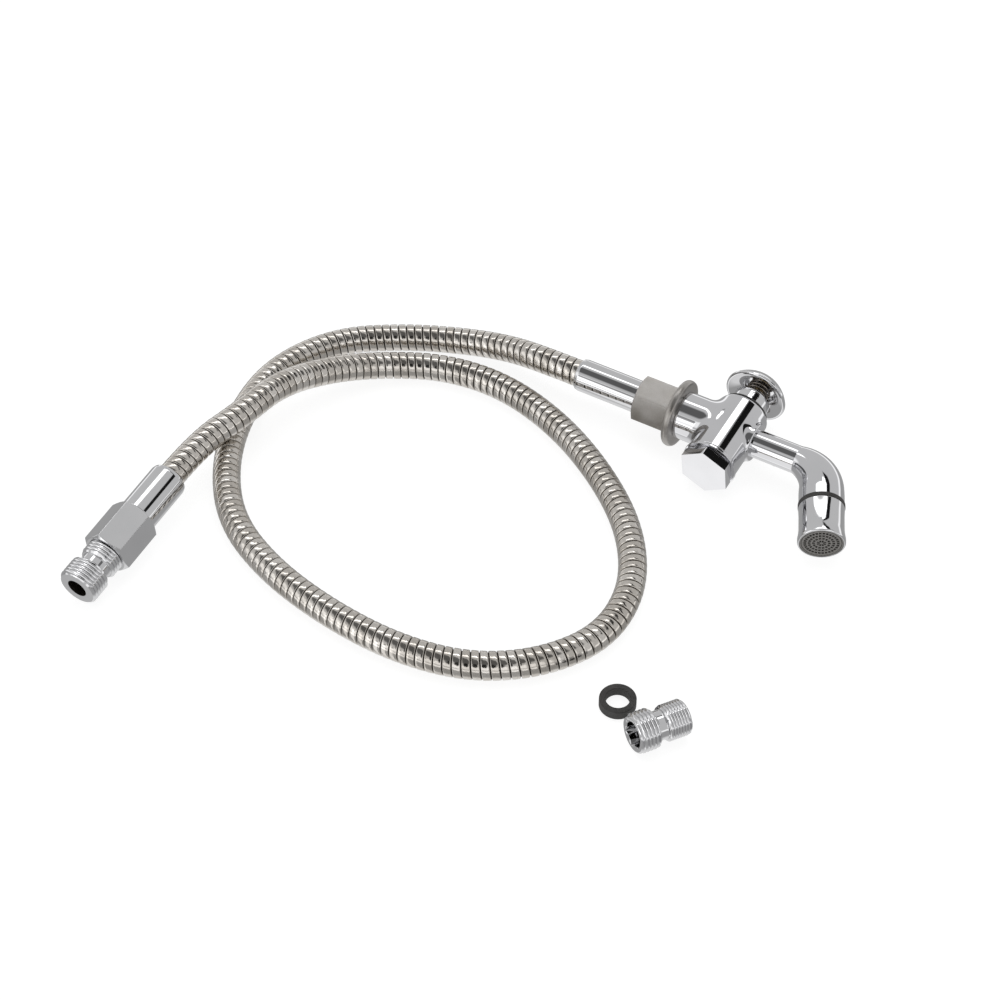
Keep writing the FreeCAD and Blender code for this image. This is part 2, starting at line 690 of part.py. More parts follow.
def ring_of(name, placement, middle_radius, section_radius, stations):
    """One or more round-section rings about the local Z axis, as one group of solids."""
    rings = []
    for index, station in enumerate(stations):
        ring = document.addObject("Part::Torus", f"{name}_{index + 1}")
        ring.setExpression("Radius1", middle_radius.formula)
        ring.setExpression("Radius2", section_radius.formula)
        ring.Placement = Placement(Vector(0, 0, station.value), Rotation())
        rings.append(ring)
    group = document.addObject("Part::Compound", name)
    group.Links = rings
    group.Label = name
    group.Placement = placement
    return group


def stem_seals():
    section = size("seal_section") / 2 - size("slide_gap")
    middle = size("stem_radius") + section + size("slide_gap")
    return ring_of("stem_seals", head() * Z_TO_Y, middle, section, seal_stations())


def return_spring():
    """A helix of many-sided wire between the bonnet's recess and the flat under the crown."""
    wire, middle = number("wire_radius"), number("spring_radius")
    clear = wire + number("fit_gap")
    low, high = number("spring_seat") + clear, number("button_seat") - clear
    pitch = (high - low) / number("spring_turns")
    helix = Part.makeHelix(pitch, high - low, middle)
    helix.translate(Vector(0, 0, low))
    rise = math.atan2(pitch, 2 * math.pi * middle)
    outward, upward = Vector(1, 0, 0), Vector(0, -math.sin(rise), math.cos(rise))
    corners = []
    for k in range(WIRE_SIDES + 1):
        angle = 2 * math.pi * (k % WIRE_SIDES) / WIRE_SIDES
        across = outward * math.cos(angle) + upward * math.sin(angle)
        corners.append(Vector(middle, 0, low) + across * wire)
    section = Part.makePolygon(corners)
    spring = document.addObject("Part::Feature", "return_spring")
    spring.Shape = Part.Wire(helix).makePipeShell([section], True, True)
    spring.Label = "return_spring"
    spring.Placement = head() * Z_TO_Y
    return spring


def button():
    """A deep mushroom: a rim, a domed crown, and a bowl round the hub and the spring."""
    rim, near = size("button_radius"), size("button_rim")
    shoulder = near + size("button_rim_length")
    crown = size("button_crown")
    rise = crown - shoulder
    dome = (rim * rim + rise * rise) / (rise * 2)
    bowl, lip = size("button_bowl_sphere"), rim - size("button_lip")
    seat, seat_radius = size("button_seat"), size("button_seat_radius")
    hub, hub_end, rod = size("button_hub_radius"), size("button_hub_end"), size("stem_radius")
    bevel = size("small_bevel")
    pressed_hub = hub_end.value - number("button_travel")
    assert pressed_hub > number("bonnet_end"), "the pressed button's hub meets the bonnet"
    return turned("button", head() * Z_TO_Y, [
        (0, stem_end()), (rod, stem_end()), (rod, hub_end), (hub, hub_end), (hub, seat),
        (seat_radius, seat), (lip, near, -bowl), (rim - bevel, near), (rim, near + bevel),
        (rim, shoulder), (0, crown, dome),
    ])


# ---------------------------------------------------------------- spout and aerator

def spout_pipe():
    outer = size("pipe_radius")
    return turned("spout_pipe", head() * Z_TO_X, tube_outline(
        outer, outer - size("pipe_wall"), size("pipe_start"), size("pipe_end")))


def elbow_section(way, radius):
    """A circle across the elbow; way runs from 0 at the pipe to 1 at the sealing ring."""
    corner, angle = number("elbow_corner"), math.radians(number("elbow_angle"))
    entry = corner - number("pipe_end")
    bend = entry / math.tan(angle / 2)
    arc, leg = bend * angle, number("elbow_leg") - entry
    run = way * (arc + leg)
    if run <= arc:
        turned_by = run / bend
        middle = Vector(corner - entry + bend * math.sin(turned_by),
                        -bend * (1 - math.cos(turned_by)), 0)
    else:
        turned_by = angle
        out = entry + run - arc
        middle = Vector(corner + out * math.cos(angle), -out * math.sin(angle), 0)
    ahead = Vector(math.cos(turned_by), -math.sin(turned_by), 0)
    return Part.Wire([Part.makeCircle(radius, middle, ahead)])


def spout_elbow():
    """A hollow cast bend that swells from the pipe to the width of the aerator."""
    start, end = number("elbow_start_radius"), number("elbow_end_radius")
    wall = number("elbow_wall")
    swell_end, power = number("elbow_swell_end"), number("elbow_swell_power")

    def swell(index):
        way = index / (ELBOW_SECTIONS - 1)
        eased = 1 - (1 - min(way / swell_end, 1.0)) ** power
        return way, start + (end - start) * eased

    stations = [swell(index) for index in range(ELBOW_SECTIONS)]
    outside = Part.makeLoft([elbow_section(way, radius) for way, radius in stations], True)
    inside = Part.makeLoft([elbow_section(way, radius - wall) for way, radius in stations], True)
    elbow = document.addObject("Part::Feature", "spout_elbow")
    elbow.Shape = outside.cut(inside)
    elbow.Label = "spout_elbow"
    elbow.Placement = head() * turn(X_AXIS, number("spout_roll"))
    return elbow


def aerator_gasket():
    return flat_ring("aerator_gasket", spout(), size("ring_radius"), size("ring_bore"),
                     size("elbow_leg"), size("ring_thickness"))


def housing_top():
    return size("elbow_leg") + size("ring_thickness")


def insert_radius():
    return size("housing_mouth_radius") - size("housing_wall") - size("fit_gap")


def aerator_housing():
    """A waisted sleeve with a thin lip round the insert."""
    top, mouth = housing_top(), size("spray_reach")
    neck, waist, wide = (
        size("housing_top_radius"), size("housing_waist_radius"), size("housing_mouth_radius"))
    inner = wide - size("housing_wall")
    narrow = inner - size("housing_step")
    step = mouth - size("housing_step_depth")
    bevel = size("small_bevel")
    return turned("aerator_housing", spout(), [
        (narrow, top), (neck, top), (waist, top + size("housing_neck")),
        (waist, mouth - size("housing_flare")), (wide, mouth - size("housing_band")),
        (wide, mouth - bevel), (wide - bevel, mouth), (inner, mouth), (inner, step), (narrow, step),
    ])


def aerator_insert():
    """The face plate: a disc with rings of short slots round a small cross."""
    face = size("spray_reach") - size("insert_recess")
    body = turned("aerator_insert", spout(), tube_outline(
        insert_radius(), 0, face - size("insert_length"), face, size("edge_blend") / 4))
    half, depth = size("slot_width") / 2, size("slot_depth")
    for ring in range(int(number("slot_ring_count"))):
        middle = size("slot_ring_first") + size("slot_ring_pitch") * ring
        revolve(body, tube_outline(middle + half, middle - half, face - depth, face + depth),
                "Groove")
    return body


def aerator_screen():
    back = size("spray_reach") - size("insert_recess") - size("insert_length")
    return turned("aerator_screen", spout(), tube_outline(
        insert_radius(), 0, back - size("screen_thickness"), back))


def flow_restrictor():
    """A small plastic disc with a ring of drilled holes, above the screen."""
    back = size("spray_reach") - size("insert_recess") - size("insert_length")
    end = back - size("screen_thickness")
    body = turned("flow_restrictor", spout(), tube_outline(
        insert_radius(), 0, end - size("restrictor_thickness"), end))
    hole, away = size("restrictor_hole_radius"), size("restrictor_ring_radius")
    cut = extrude(body, "XY_Plane", lambda s: draw_circle(s, hole, away, 0),
                  end - size("restrictor_thickness"), end, "Pocket")
    ring = body.newObject("PartDesign::PolarPattern", "flow_restrictor_ring")
    ring.Originals = [cut]
    ring.Axis = (cut.Profile[0], ["N_Axis"])
    ring.Angle = 360
    ring.Occurrences = RESTRICTOR_HOLES
    body.Tip = ring
    document.recompute()
    return body


# ---------------------------------------------------------------- hook collar and hose ends

def hook_collar():
    """The nut of the hose, with a round flange that hangs on a wall hook."""
    start = -size("collar_start")
    flange_end = -size("inlet_boss_length")
    flange_start = flange_end - size("flange_thickness")
    flats = size("collar_across_flats")
    body = new_body("hook_collar", head() * Z_TO_X * turn(Z_AXIS, number("collar_turn")))
    extrude(body, "XY_Plane", lambda s: draw_polygon(s, flats), start, flange_start)
    crown_corners(body, flats, start, flange_start, at_end=False)
    rim = size("flange_radius")
    revolve(body, [(0, flange_start), (rim, flange_start), (rim, flange_end), (0, flange_end)])

    def on_rim(edge):
        box = edge.BoundBox
        return abs(box.XLength - 2 * rim.value) < 0.1 and box.ZLength < 0.1
    round_edges(body, size("flange_round"), on_rim)
    thread = size("spigot_radius") + size("bore_gap")
    thread_end = flange_end - size("spigot_length") - size("gasket_thickness")
    sleeve = size("outlet_ferrule_radius")
    grip = start + size("hose_grip")
    tail = size("tail_radius")
    revolve(body, [
        (0, start), (sleeve, start), (sleeve, grip), (tail, grip), (tail, thread_end),
        (thread, thread_end), (thread, flange_end), (0, flange_end),
    ], "Groove")
    return body


def collar_gasket():
    start = -size("inlet_boss_length") - size("spigot_length") - size("gasket_thickness")
    return flat_ring("collar_gasket", head() * Z_TO_X, size("spigot_radius"), size("tail_radius"),
                     start, size("gasket_thickness"))


def sleeve_outline(radius, hose_end, far_end):
    """A crimped sleeve: its mouth takes the hose, and its rest holds the tube."""
    mouth, tail = size("hose_radius") + size("fit_gap"), size("tail_radius")
    rounded = (radius, hose_end + size("ferrule_round"), size("ferrule_round_radius"))
    bevel = size("ferrule_bevel")
    return [
        (tail, hose_end + size("hose_grip")), (mouth, hose_end + size("hose_grip")),
        (mouth, hose_end), (radius - size("ferrule_round_width"), hose_end), rounded,
        (radius, far_end - bevel), (radius - bevel, far_end), (tail, far_end),
    ]


def outlet_ferrule():
    far_end = -size("collar_start") + size("hose_grip")
    return turned("outlet_ferrule", head() * Z_TO_X, sleeve_outline(
        size("outlet_ferrule_radius") - size("fit_gap"), -size("outlet_ferrule_end"), far_end))


def hose_tail(name, placement, start, end):
    return turned(name, placement, tube_outline(
        size("tail_radius") - size("fit_gap"), size("tail_bore"), start, end))


def outlet_tail():
    start = -size("outlet_ferrule_end") + size("hose_grip")
    end = -size("inlet_boss_length") - size("spigot_length")
    return hose_tail("outlet_tail", head() * Z_TO_X, start, end)


def inlet_ferrule():
    return turned("inlet_ferrule", inlet(), sleeve_outline(
        size("inlet_ferrule_radius"), Size.of(0), size("inlet_ferrule_length")))


def coupling_end():
    return size("inlet_ferrule_length") + size("coupling_length")


def thread_depth():
    """How far the nipple is screwed into the inlet hexagon."""
    return size("coupling_length") / 2


def inlet_coupling():
    start, end = size("inlet_ferrule_length"), coupling_end()
    flats = size("coupling_across_flats")
    body = new_body("inlet_coupling", inlet() * turn(Z_AXIS, number("coupling_turn")))
    extrude(body, "XY_Plane", lambda s: draw_polygon(s, flats), start, end)
    crown_corners(body, flats, start, end, at_end=False)
    crown_corners(body, flats, start, end, at_end=True)
    tail, thread = size("tail_radius"), size("nipple_inner_radius") + size("bore_gap")
    step = end - thread_depth() - size("gasket_thickness")
    revolve(body, [(0, start), (tail, start), (tail, step), (thread, step), (thread, end), (0, end)],
            "Groove")
    return body


def inlet_gasket():
    start = coupling_end() - thread_depth() - size("gasket_thickness")
    return flat_ring("inlet_gasket", inlet(), size("nipple_inner_radius"), size("tail_radius"),
                     start, size("gasket_thickness"))


def inlet_tail():
    end = coupling_end() - thread_depth() - size("gasket_thickness")
    return hose_tail("inlet_tail", inlet(), size("hose_grip"), end)


def inlet_nipple():
    start = coupling_end() - thread_depth()
    neck = coupling_end() + size("nipple_inner_length")
    thread = neck + size("nipple_neck_length")
    end = thread + size("nipple_outer_length")
    inner, middle, outer = (
        size("nipple_inner_radius"), size("nipple_neck_radius"), size("nipple_outer_radius"))
    bore, bevel = size("nipple_bore"), size("thread_chamfer")
    return turned("inlet_nipple", inlet(), [
        (bore, start), (inner - bevel, start), (inner, start + bevel), (inner, neck - bevel),
        (inner - bevel, neck), (middle, neck), (middle, thread), (outer - bevel, thread),
        (outer, thread + bevel), (outer, end - bevel), (outer - bevel, end), (bore, end),
    ])


def arc_path(points):
    """Straight runs joined by tangent arcs."""
    edges, radii = [], []
    previous = points[0]
    for before, corner, after in zip(points, points[1:], points[2:]):
        back, ahead = (before - corner), (after - corner)
        reach = ROUTE_REACH * min(back.Length, ahead.Length)
        back.normalize()
        ahead.normalize()
        half_turn = (math.pi - back.getAngle(ahead)) / 2
        radii.append(reach / math.tan(half_turn))
        first, last = corner + back * reach, corner + ahead * reach
        inward = (back + ahead).normalize()
        gap = radii[-1] / math.cos(half_turn) - radii[-1]
        edges.append(Part.LineSegment(previous, first).toShape())
        edges.append(Part.Arc(first, corner + inward * gap, last).toShape())
        previous = last
    edges.append(Part.LineSegment(previous, points[-1]).toShape())
    return Part.Wire(edges), radii


def hose():
    """The strip-wound hose as one plain tube along its route."""
    first = inlet() * Vector(0, 0, number("hose_grip"))
    last = head() * Vector(-number("outlet_ferrule_end") + number("hose_grip"), 0, 0)
    middle = [on_surface(*point) * Vector() for point in HOSE_ROUTE]
    path, radii = arc_path([first] + middle + [last])
    start = path.Edges[0]
    along = start.tangentAt(start.FirstParameter)

    def sweep(radius):
        section = Part.Wire([Part.makeCircle(radius, first, along)])
        return path.makePipeShell([section], True, True)

    outer, bore = number("hose_radius"), number("hose_bore")
    tube = document.addObject("Part::Feature", "hose")
    tube.Shape = sweep(outer).cut(sweep(bore))
    tube.Label = "hose"
    expected = math.pi * (outer ** 2 - bore ** 2) * path.Length
    print("hose radii", [round(radius) for radius in radii])
    print(f"hose length {path.Length:.1f} volume ratio {tube.Shape.Volume / expected:.4f}")
    return tube


# ---------------------------------------------------------------- loose pieces

def spare_adapter():
    large_end = size("adapter_large_length")
    small_start = large_end + size("adapter_neck_length")
    end = small_start + size("adapter_small_length")
    large, neck, small = (
        size("adapter_large_radius"), size("adapter_neck_radius"), size("adapter_small_radius"))
    bevel = size("thread_chamfer")
    body = turned("spare_adapter", adapter(), [
        (0, 0), (large - bevel, 0), (large, bevel), (large, large_end - bevel),
        (large - bevel, large_end), (neck, large_end), (neck, small_start),
        (small - bevel, small_start), (small, small_start + bevel), (small, end - bevel),
        (small - bevel, end), (0, end),
    ])
    socket = size("adapter_socket")
    extrude(body, "XY_Plane", lambda s: draw_polygon(s, socket), 0, size("adapter_socket_depth"),
            "Pocket")
    bore = size("adapter_bore")
    extrude(body, "XY_Plane", lambda s: draw_circle(s, bore), 0, end, "Pocket")
    return body


def spare_washer():
    place = on_surface(number("spare_washer_x"), number("spare_washer_y"), 0)
    return turned("spare_washer", place, tube_outline(
        size("spare_washer_radius"), size("spare_washer_bore"), 0,
        size("spare_washer_thickness"), size("edge_blend") / 2))


# ---------------------------------------------------------------- build, check and write

PARTS = [
    valve_body, hex_cap, cap_gasket, valve_seat, seat_disc, disc_holder, poppet_nut, valve_stem,
    bonnet, bonnet_gasket, stem_seals, return_spring, button,
    spout_pipe, spout_elbow, aerator_gasket, aerator_housing, aerator_insert, aerator_screen,
    flow_restrictor, hook_collar, collar_gasket, outlet_ferrule, outlet_tail,
    hose, inlet_ferrule, inlet_tail, inlet_coupling, inlet_gasket, inlet_nipple,
    spare_adapter, spare_washer,
]

fill_sheet()
nodes = [build() for build in PARTS]
document.recompute()

for item in document.Objects:
    assert not {"Invalid", "Error"} & set(item.State), f"{item.Label} failed: {item.State}"
for node in nodes:
    assert not node.Shape.isNull() and node.Shape.isValid(), f"{node.Label} has a bad shape"
    assert node.Shape.Volume > 1, f"{node.Label} is empty"

os.makedirs("parts", exist_ok=True)
for node in nodes:
    node.Shape.exportStep(f"parts/{node.Label}.step")
    box = node.Shape.BoundBox
    print(f"{node.Label:18s} {len(node.Shape.Solids)} solid(s) {node.Shape.Volume:9.1f} mm3  "
          f"x {box.XMin:7.1f} {box.XMax:7.1f}  y {box.YMin:7.1f} {box.YMax:7.1f}  "
          f"z {box.ZMin:6.2f} {box.ZMax:6.2f}")
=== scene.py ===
import math

import bmesh
import bpy
import numpy as np
from mathutils import Matrix, Vector


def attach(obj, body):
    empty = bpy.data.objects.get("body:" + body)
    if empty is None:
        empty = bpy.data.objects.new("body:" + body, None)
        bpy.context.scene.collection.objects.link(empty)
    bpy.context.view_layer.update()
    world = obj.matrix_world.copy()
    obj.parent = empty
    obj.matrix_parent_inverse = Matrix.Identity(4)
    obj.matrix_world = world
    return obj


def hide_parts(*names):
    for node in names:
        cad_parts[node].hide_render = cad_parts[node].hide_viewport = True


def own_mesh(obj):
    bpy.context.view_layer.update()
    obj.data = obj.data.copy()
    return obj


# A hand-held push-button rinse faucet on a strip-wound steel hose, with a loose adapter and washer.
# Shapes are drawn in millimetres in the frame of their own part, then placed in the row frame.

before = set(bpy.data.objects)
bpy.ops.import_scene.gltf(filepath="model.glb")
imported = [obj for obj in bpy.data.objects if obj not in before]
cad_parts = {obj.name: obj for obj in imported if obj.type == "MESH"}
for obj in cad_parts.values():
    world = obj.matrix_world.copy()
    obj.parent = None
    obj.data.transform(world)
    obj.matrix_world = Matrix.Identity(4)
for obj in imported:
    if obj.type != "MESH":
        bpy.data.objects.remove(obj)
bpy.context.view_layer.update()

MM = 0.001
SHIFT = Vector((0.00278, 0.07637, 0.0))     # the middle of the valve, on the surface

# Hose
HOSE_PITCH = 4.2
SLEEVE_GRIP = 4.0                           # hose inside the mouth of a sleeve
HOSE_SIDES = 56
GROOVE_SHADE_RADIUS = 6.3                           # below this radius the groove between two bands gets painted shade
# One band of the hose: share of the pitch, radius.
HOSE_BAND = [(0.00, 5.90), (0.06, 5.90), (0.072, 6.60), (0.10, 6.82), (0.16, 6.89), (0.38, 6.90),
             (0.64, 6.88), (0.84, 6.82), (0.915, 6.68), (0.94, 6.40), (0.955, 5.90)]

# Threads and hexagons
UN_PITCH = 1.814                            # 14 threads to the inch
NPT_PITCH = 1.411                           # 18 threads to the inch
THREAD_DEPTH = 0.6                          # share of the pitch
ROOT_GAP = 0.05                             # end rings of a thread, inside its root
HOSE_THREAD_RADIUS = 9.525                  # 3/4-14 UN
HEX_FACE = 0.97                             # turned face of a hexagon, against its flats
HEX_SLOPE = math.tan(math.radians(30))      # of the corners that are turned down
MERGE = 0.0008                              # points closer than this become one

# Valve, along its barrel from the spout's axis, positive towards the button
BARREL_RADIUS = 13.5
CAP_END, BONNET_END = -21.5, 15.3
CAP_BORE, CAP_BORE_END = 11.2, -11.5
CAP_FLATS, CAP_FACE, CAP_TURN = 23.8, -28.6, 26.8
CAP_THREAD, CAP_FLANGE = 11.1, 14.0         # radii
BONNET_BORE, BONNET_BORE_END = 8.6, 7.8
INLET_BOSS_RADIUS, INLET_BOSS_END = 12.15, -26.0
SPOUT_BOSS_RADIUS, SPOUT_BOSS_END = 9.8, 14.2
INLET_FILLET, SPOUT_FILLET = 4.2, 1.8
SPIGOT_RADIUS, SPIGOT_END = 9.5, -35.0      # plain end inside the collar
WET_CHAMBER = 9.6                           # bore of the casting on the cap's side of the seat
DRY_CHAMBER = 7.2                           # bore on the button's side of the seat
SEAT_BORE = 5.65                            # hole through the seat's wall
SEAT_WALL = (-1.8, 1.8)                     # the wall that holds the valve seat
GASKET = 1.0                                # thickness of the flat rings
CASTING_CELL = 0.55                         # grid that the casting's surface is traced on
BONNET_RADIUS, BONNET_TOP, BONNET_FLOOR = 9.6, 24.1, 20.6
STEM_HOLE = 2.56
HOLE_TURN, HOLE_REACH, HOLE_ALONG = 20.0, 9.42, 20.9    # the bonnet's two spanner holes, drawn as dark discs of painted shade

# Button and spring
BUTTON_RADIUS, BUTTON_RIM, BUTTON_CROWN = 16.2, 28.8, 38.4
BOWL_SPHERE = 10.7                          # radius of the hollow under the crown
BOWL_INNER, BOWL_OUTER = (7.2, 35.2), (14.9, 27.6)
COIL_TURNS, COIL_LOW, COIL_HIGH, COIL_RADIUS, WIRE_RADIUS = 6.0, 21.25, 34.55, 5.55, 0.6

# Spout, from the barrel's axis to the elbow's corner and on to the mouth
PIPE_RADIUS, PIPE_BORE, PIPE_START, PIPE_END = 7.1, 5.6, 11.0, 37.6
ELBOW_CORNER, ELBOW_ANGLE = 49.8, 64.4
ELBOW_ENTRY = 12.8                          # from the corner to where the bend begins
ELBOW_START_RADIUS, ELBOW_SWELL = 7.12, 3.98
SWELL_END, SWELL_POWER = 0.85, 1.8          # share of the way where it ends, and how it eases
NUB_ALONG, NUB_TURN, NUB_SEAT = 26.5, 145.0, 6.95
ELBOW_LEG = 21.7                            # from the elbow's corner to the black ring
RING_THICKNESS = 2.5
MOUTH = 44.9                                # from the elbow's corner to the aerator's mouth
FACE_RADIUS, FACE_THICKNESS, FACE_RECESS = 10.55, 4.2, 0.4
# Rings of slots in the aerator's face: inner radius, outer radius, slots.
SLOT_RINGS = [(0.8, 2.3, 8), (3.15, 4.4, 14), (5.2, 6.5, 22), (7.25, 8.6, 30)]
SLOT_SHARE = 0.36                           # half of a slot against its pitch
SLOT_DEPTH, RIM_GROOVE_DEPTH = 1.1, 0.45
FACE_SECTORS = 480

# Hose ends, from the barrel's axis at the head and from the sleeve's mouth at the inlet
COLLAR_FLATS, COLLAR_START, COLLAR_TURN = 23.0, -49.8, 38.7
FLANGE_START, FLANGE_RADIUS = -30.4, 17.4
OUTLET_SLEEVE_RADIUS, OUTLET_SLEEVE_START, OUTLET_SLEEVE_END = 8.35, -85.0, -45.8
INLET_SLEEVE_RADIUS, INLET_SLEEVE_END = 9.5, 28.6
TAIL_RADIUS, TAIL_MOUTH = 5.2, 6.95
COUPLING_FLATS, COUPLING_END, COUPLING_TURN = 22.2, 53.6, 10.0
NIPPLE_START, BORE_SHADE_START = 50.0, 60.0
NIPPLE_INNER_END, NIPPLE_OUTER_START, NIPPLE_END = 60.6, 64.8, 76.5
NIPPLE_NECK, NIPPLE_OUTER_RADIUS, NIPPLE_BORE = 7.6, 10.3, 5.1

# Loose adapter and washer
LARGE_END, SMALL_START, ADAPTER_END = 10.4, 15.0, 26.4
SMALL_RADIUS = 8.55                         # 3/8 NPT
SOCKET_FLATS, SOCKET_FLOOR, ADAPTER_BORE = 12.0, 9.0, 5.2
ADAPTER_NECK = 6.9
# It lies on both threads, so it dips towards the smaller one.
ADAPTER_TILT = math.degrees(math.atan2(HOSE_THREAD_RADIUS - SMALL_RADIUS, ADAPTER_END - LARGE_END))
WASHER_INNER, WASHER_OUTER, WASHER_TOP = 5.6, 8.6, 5.0

# Studio. The room is painted by direction: x, y and z are those of a line from the object outwards.
# The overhead pieces lie on a plane one unit up, along and across the strip light; limits are
# (low, high), and soft is half the width of an edge.
STRIP_AWAY = 0.56                           # from straight above the object to the strip
STRIP_TURN = math.radians(19.6)
LOWEST, OVERHEAD = 0.02, 0.05               # least z to divide by, least z of an overhead piece
STRIP_PANELS = [((-1.1, 0.12), (-0.09, 0.09)), ((-0.28, 0.14), (0.0, 0.21))]
GAP_ALONG, GAP_ACROSS = (-0.035, -0.010), (0.0, 0.25)   # thin dark line across the strip
FLAG_ALONG, FLAG_ACROSS, FLAG_SLANT = (0.22, 0.80), (-0.34, 0.34), 1.5
SOFT, BROAD_SOFT, GAP_SOFT = 0.02, 0.03, 0.006
HORIZON_LIMITS = (-0.13, 0.07)
GROUND_FADE = (-0.12, -0.05)
NADIR_FADE = (-0.75, -0.92)
FRONT_EDGE = -0.1                           # largest y of the front panel
FRONT_SIDEWAYS, FRONT_HEIGHT = (0.24, 0.62), (-0.86, 0.5)
GLOW_HEIGHT, GLOW_FADE = (0.22, 0.60), (-0.30, -0.42)
CEILING_RISE, CEILING_FADE = (0.74, 0.82), (0.12, 0.0)
WALL_LIGHT, GROUND_LIGHT, NADIR_LIGHT = 0.65, 0.42, 0.45
STRIP_LIGHT, HORIZON_LIGHT, FRONT_LIGHT, GLOW_LIGHT = 1.9, 0.6, 0.62, 0.55
FLAG_SHADE, GAP_SHADE, CEILING_SHADE = 0.985, 0.85, 0.8     # share of the light taken away
# Dark discs in front, for dark spots on the chrome: direction, spread in degrees, shade.
DARK_DISCS = [((0.278, -0.660, 0.697), 14.0, 0.96), ((-0.282, -0.819, 0.50), 6.0, 0.75)]
DISC_SOFT = 0.003
FLOOR_GLOW = 0.86
LAMP_WATTS, LAMP_SIZE, LAMP_PLACE = 16, 2.2, (-0.2, 0.3, 2.4)
CAMERA_PLACE = Vector((0.33513, -0.79665, 0.8583))      # from the valve's middle
CAMERA_TURN = (43.955, 0.0, 30.383)                     # degrees
CAMERA_LENS = 87.3

# The hose's route from the inlet sleeve to the outlet sleeve, in metres from the valve's middle.
HOSE_ROUTE = [
    (-0.2212, -0.1410, 0.0197), (-0.2135, -0.1150, 0.0218), (-0.2100, -0.0870, 0.0214),
    (-0.1990, -0.0590, 0.0140), (-0.1800, -0.0360, 0.0080), (-0.1520, -0.0205, 0.0069),
    (-0.1180, -0.0175, 0.0069), (-0.0800, -0.0285, 0.0069), (-0.0440, -0.0495, 0.0069),
    (-0.0150, -0.0750, 0.0069), (0.0035, -0.1060, 0.0069), (0.0060, -0.1390, 0.0069),
    (-0.0100, -0.1670, 0.0069), (-0.0370, -0.1870, 0.0069), (-0.0720, -0.1945, 0.0069),
    (-0.1110, -0.1925, 0.0069), (-0.1510, -0.1835, 0.0069), (-0.1850, -0.1665, 0.0069),
    (-0.2090, -0.1380, 0.0069), (-0.2240, -0.1030, 0.0069), (-0.2275, -0.0660, 0.0069),
    (-0.2120, -0.0320, 0.0069), (-0.1820, -0.0110, 0.0069), (-0.1520, 0.0015, 0.0076),
    (-0.1275, 0.0035, 0.0122), (-0.1040, 0.0000, 0.0174),
]


# ---------------------------------------------------------------- placements

def spin(axis, degrees):
    return Matrix.Rotation(math.radians(degrees), 4, axis)


def shifted(x, y, z):
    return Matrix.Translation(SHIFT + Vector((x, y, z)) * MM)


def step(x, y, z):
    return Matrix.Translation(Vector((x, y, z)) * MM)


# A shape is drawn with its axis up; these lay it along x or y.
ALONG_X = spin("Y", 90)
ALONG_Y = spin("X", -90)
HEAD = shifted(0, 0, 17.4) @ spin("X", 5.1)
SPOUT_HEAD = HEAD @ spin("X", 3.1)
SPOUT = SPOUT_HEAD @ step(ELBOW_CORNER, 0, 0) @ spin("Z", -ELBOW_ANGLE) @ ALONG_X
INLET = shifted(-221.0, -165.3, 17.45) @ spin("Z", 0.4 - 90) @ spin("Y", 5.3) @ ALONG_X
ADAPTER = shifted(45.6, -186.3, 10.09) @ spin("Z", 57.0) @ spin("Y", ADAPTER_TILT) @ ALONG_X
WASHER = shifted(28.1, -167.4, 0)


# ---------------------------------------------------------------- shapes, as (vertices, faces)

def grid(rows, closed=False):
    """A sheet of quads over rows of points; closed joins each row's last point to its first."""
    rows = np.asarray(rows, float)
    count, width = rows.shape[:2]
    index = np.arange(count * width).reshape(count, width)
    after = np.roll(index, -1, axis=1) if closed else index[:, 1:]
    here = index if closed else index[:, :-1]
    faces = np.stack([here[:-1], after[:-1], after[1:], here[1:]], axis=-1).reshape(-1, 4)
    return rows.reshape(-1, 3), faces


def joined(*shapes):
    points, faces, offset = [], [], 0
    for vertices, quads in shapes:
        points.append(vertices)
        faces.append(quads + offset)
        offset += len(vertices)
    return np.concatenate(points), np.concatenate(faces)


def circle_angles(segments):
    return np.arange(segments) / segments * 2 * math.pi


def soften(points, radius, closed=False, arc_steps=4, support=0.04):
    """Round the corners of an outline, with a close pair of points to hold the flats flat."""
    points = [np.array(point, float) for point in points]
    result = []
    count = len(points)
    for index, corner in enumerate(points):
        if not closed and index in (0, count - 1):
            result.append(corner)
            continue
        back, ahead = points[index - 1] - corner, points[(index + 1) % count] - corner
        reach = min(radius, 0.4 * np.linalg.norm(back), 0.4 * np.linalg.norm(ahead))
        back, ahead = back / np.linalg.norm(back), ahead / np.linalg.norm(ahead)
        if back @ ahead < -0.985 or reach < 0.01:
            result.append(corner)
            continue
        hold = min(support, 0.2 * reach)
        result.append(corner + back * (reach + hold))
        for t in np.linspace(0, 1, arc_steps + 1):
            result.append(corner + back * reach * (1 - t) ** 2 + ahead * reach * t ** 2)
        result.append(corner + ahead * (reach + hold))
    if closed:
        result.append(result[0])
    return result


def turned(outline, rounding=0.25, closed=False, segments=128):
    """An outline of (radius, along) points turned about the local Z axis."""
    outline = np.array(soften(outline, rounding, closed))
    angles = circle_angles(segments)
    rows = np.stack([
        outline[:, :1] * np.cos(angles), outline[:, :1] * np.sin(angles),
        np.repeat(outline[:, 1:], segments, axis=1)], axis=-1)
    return grid(rows, closed=True)


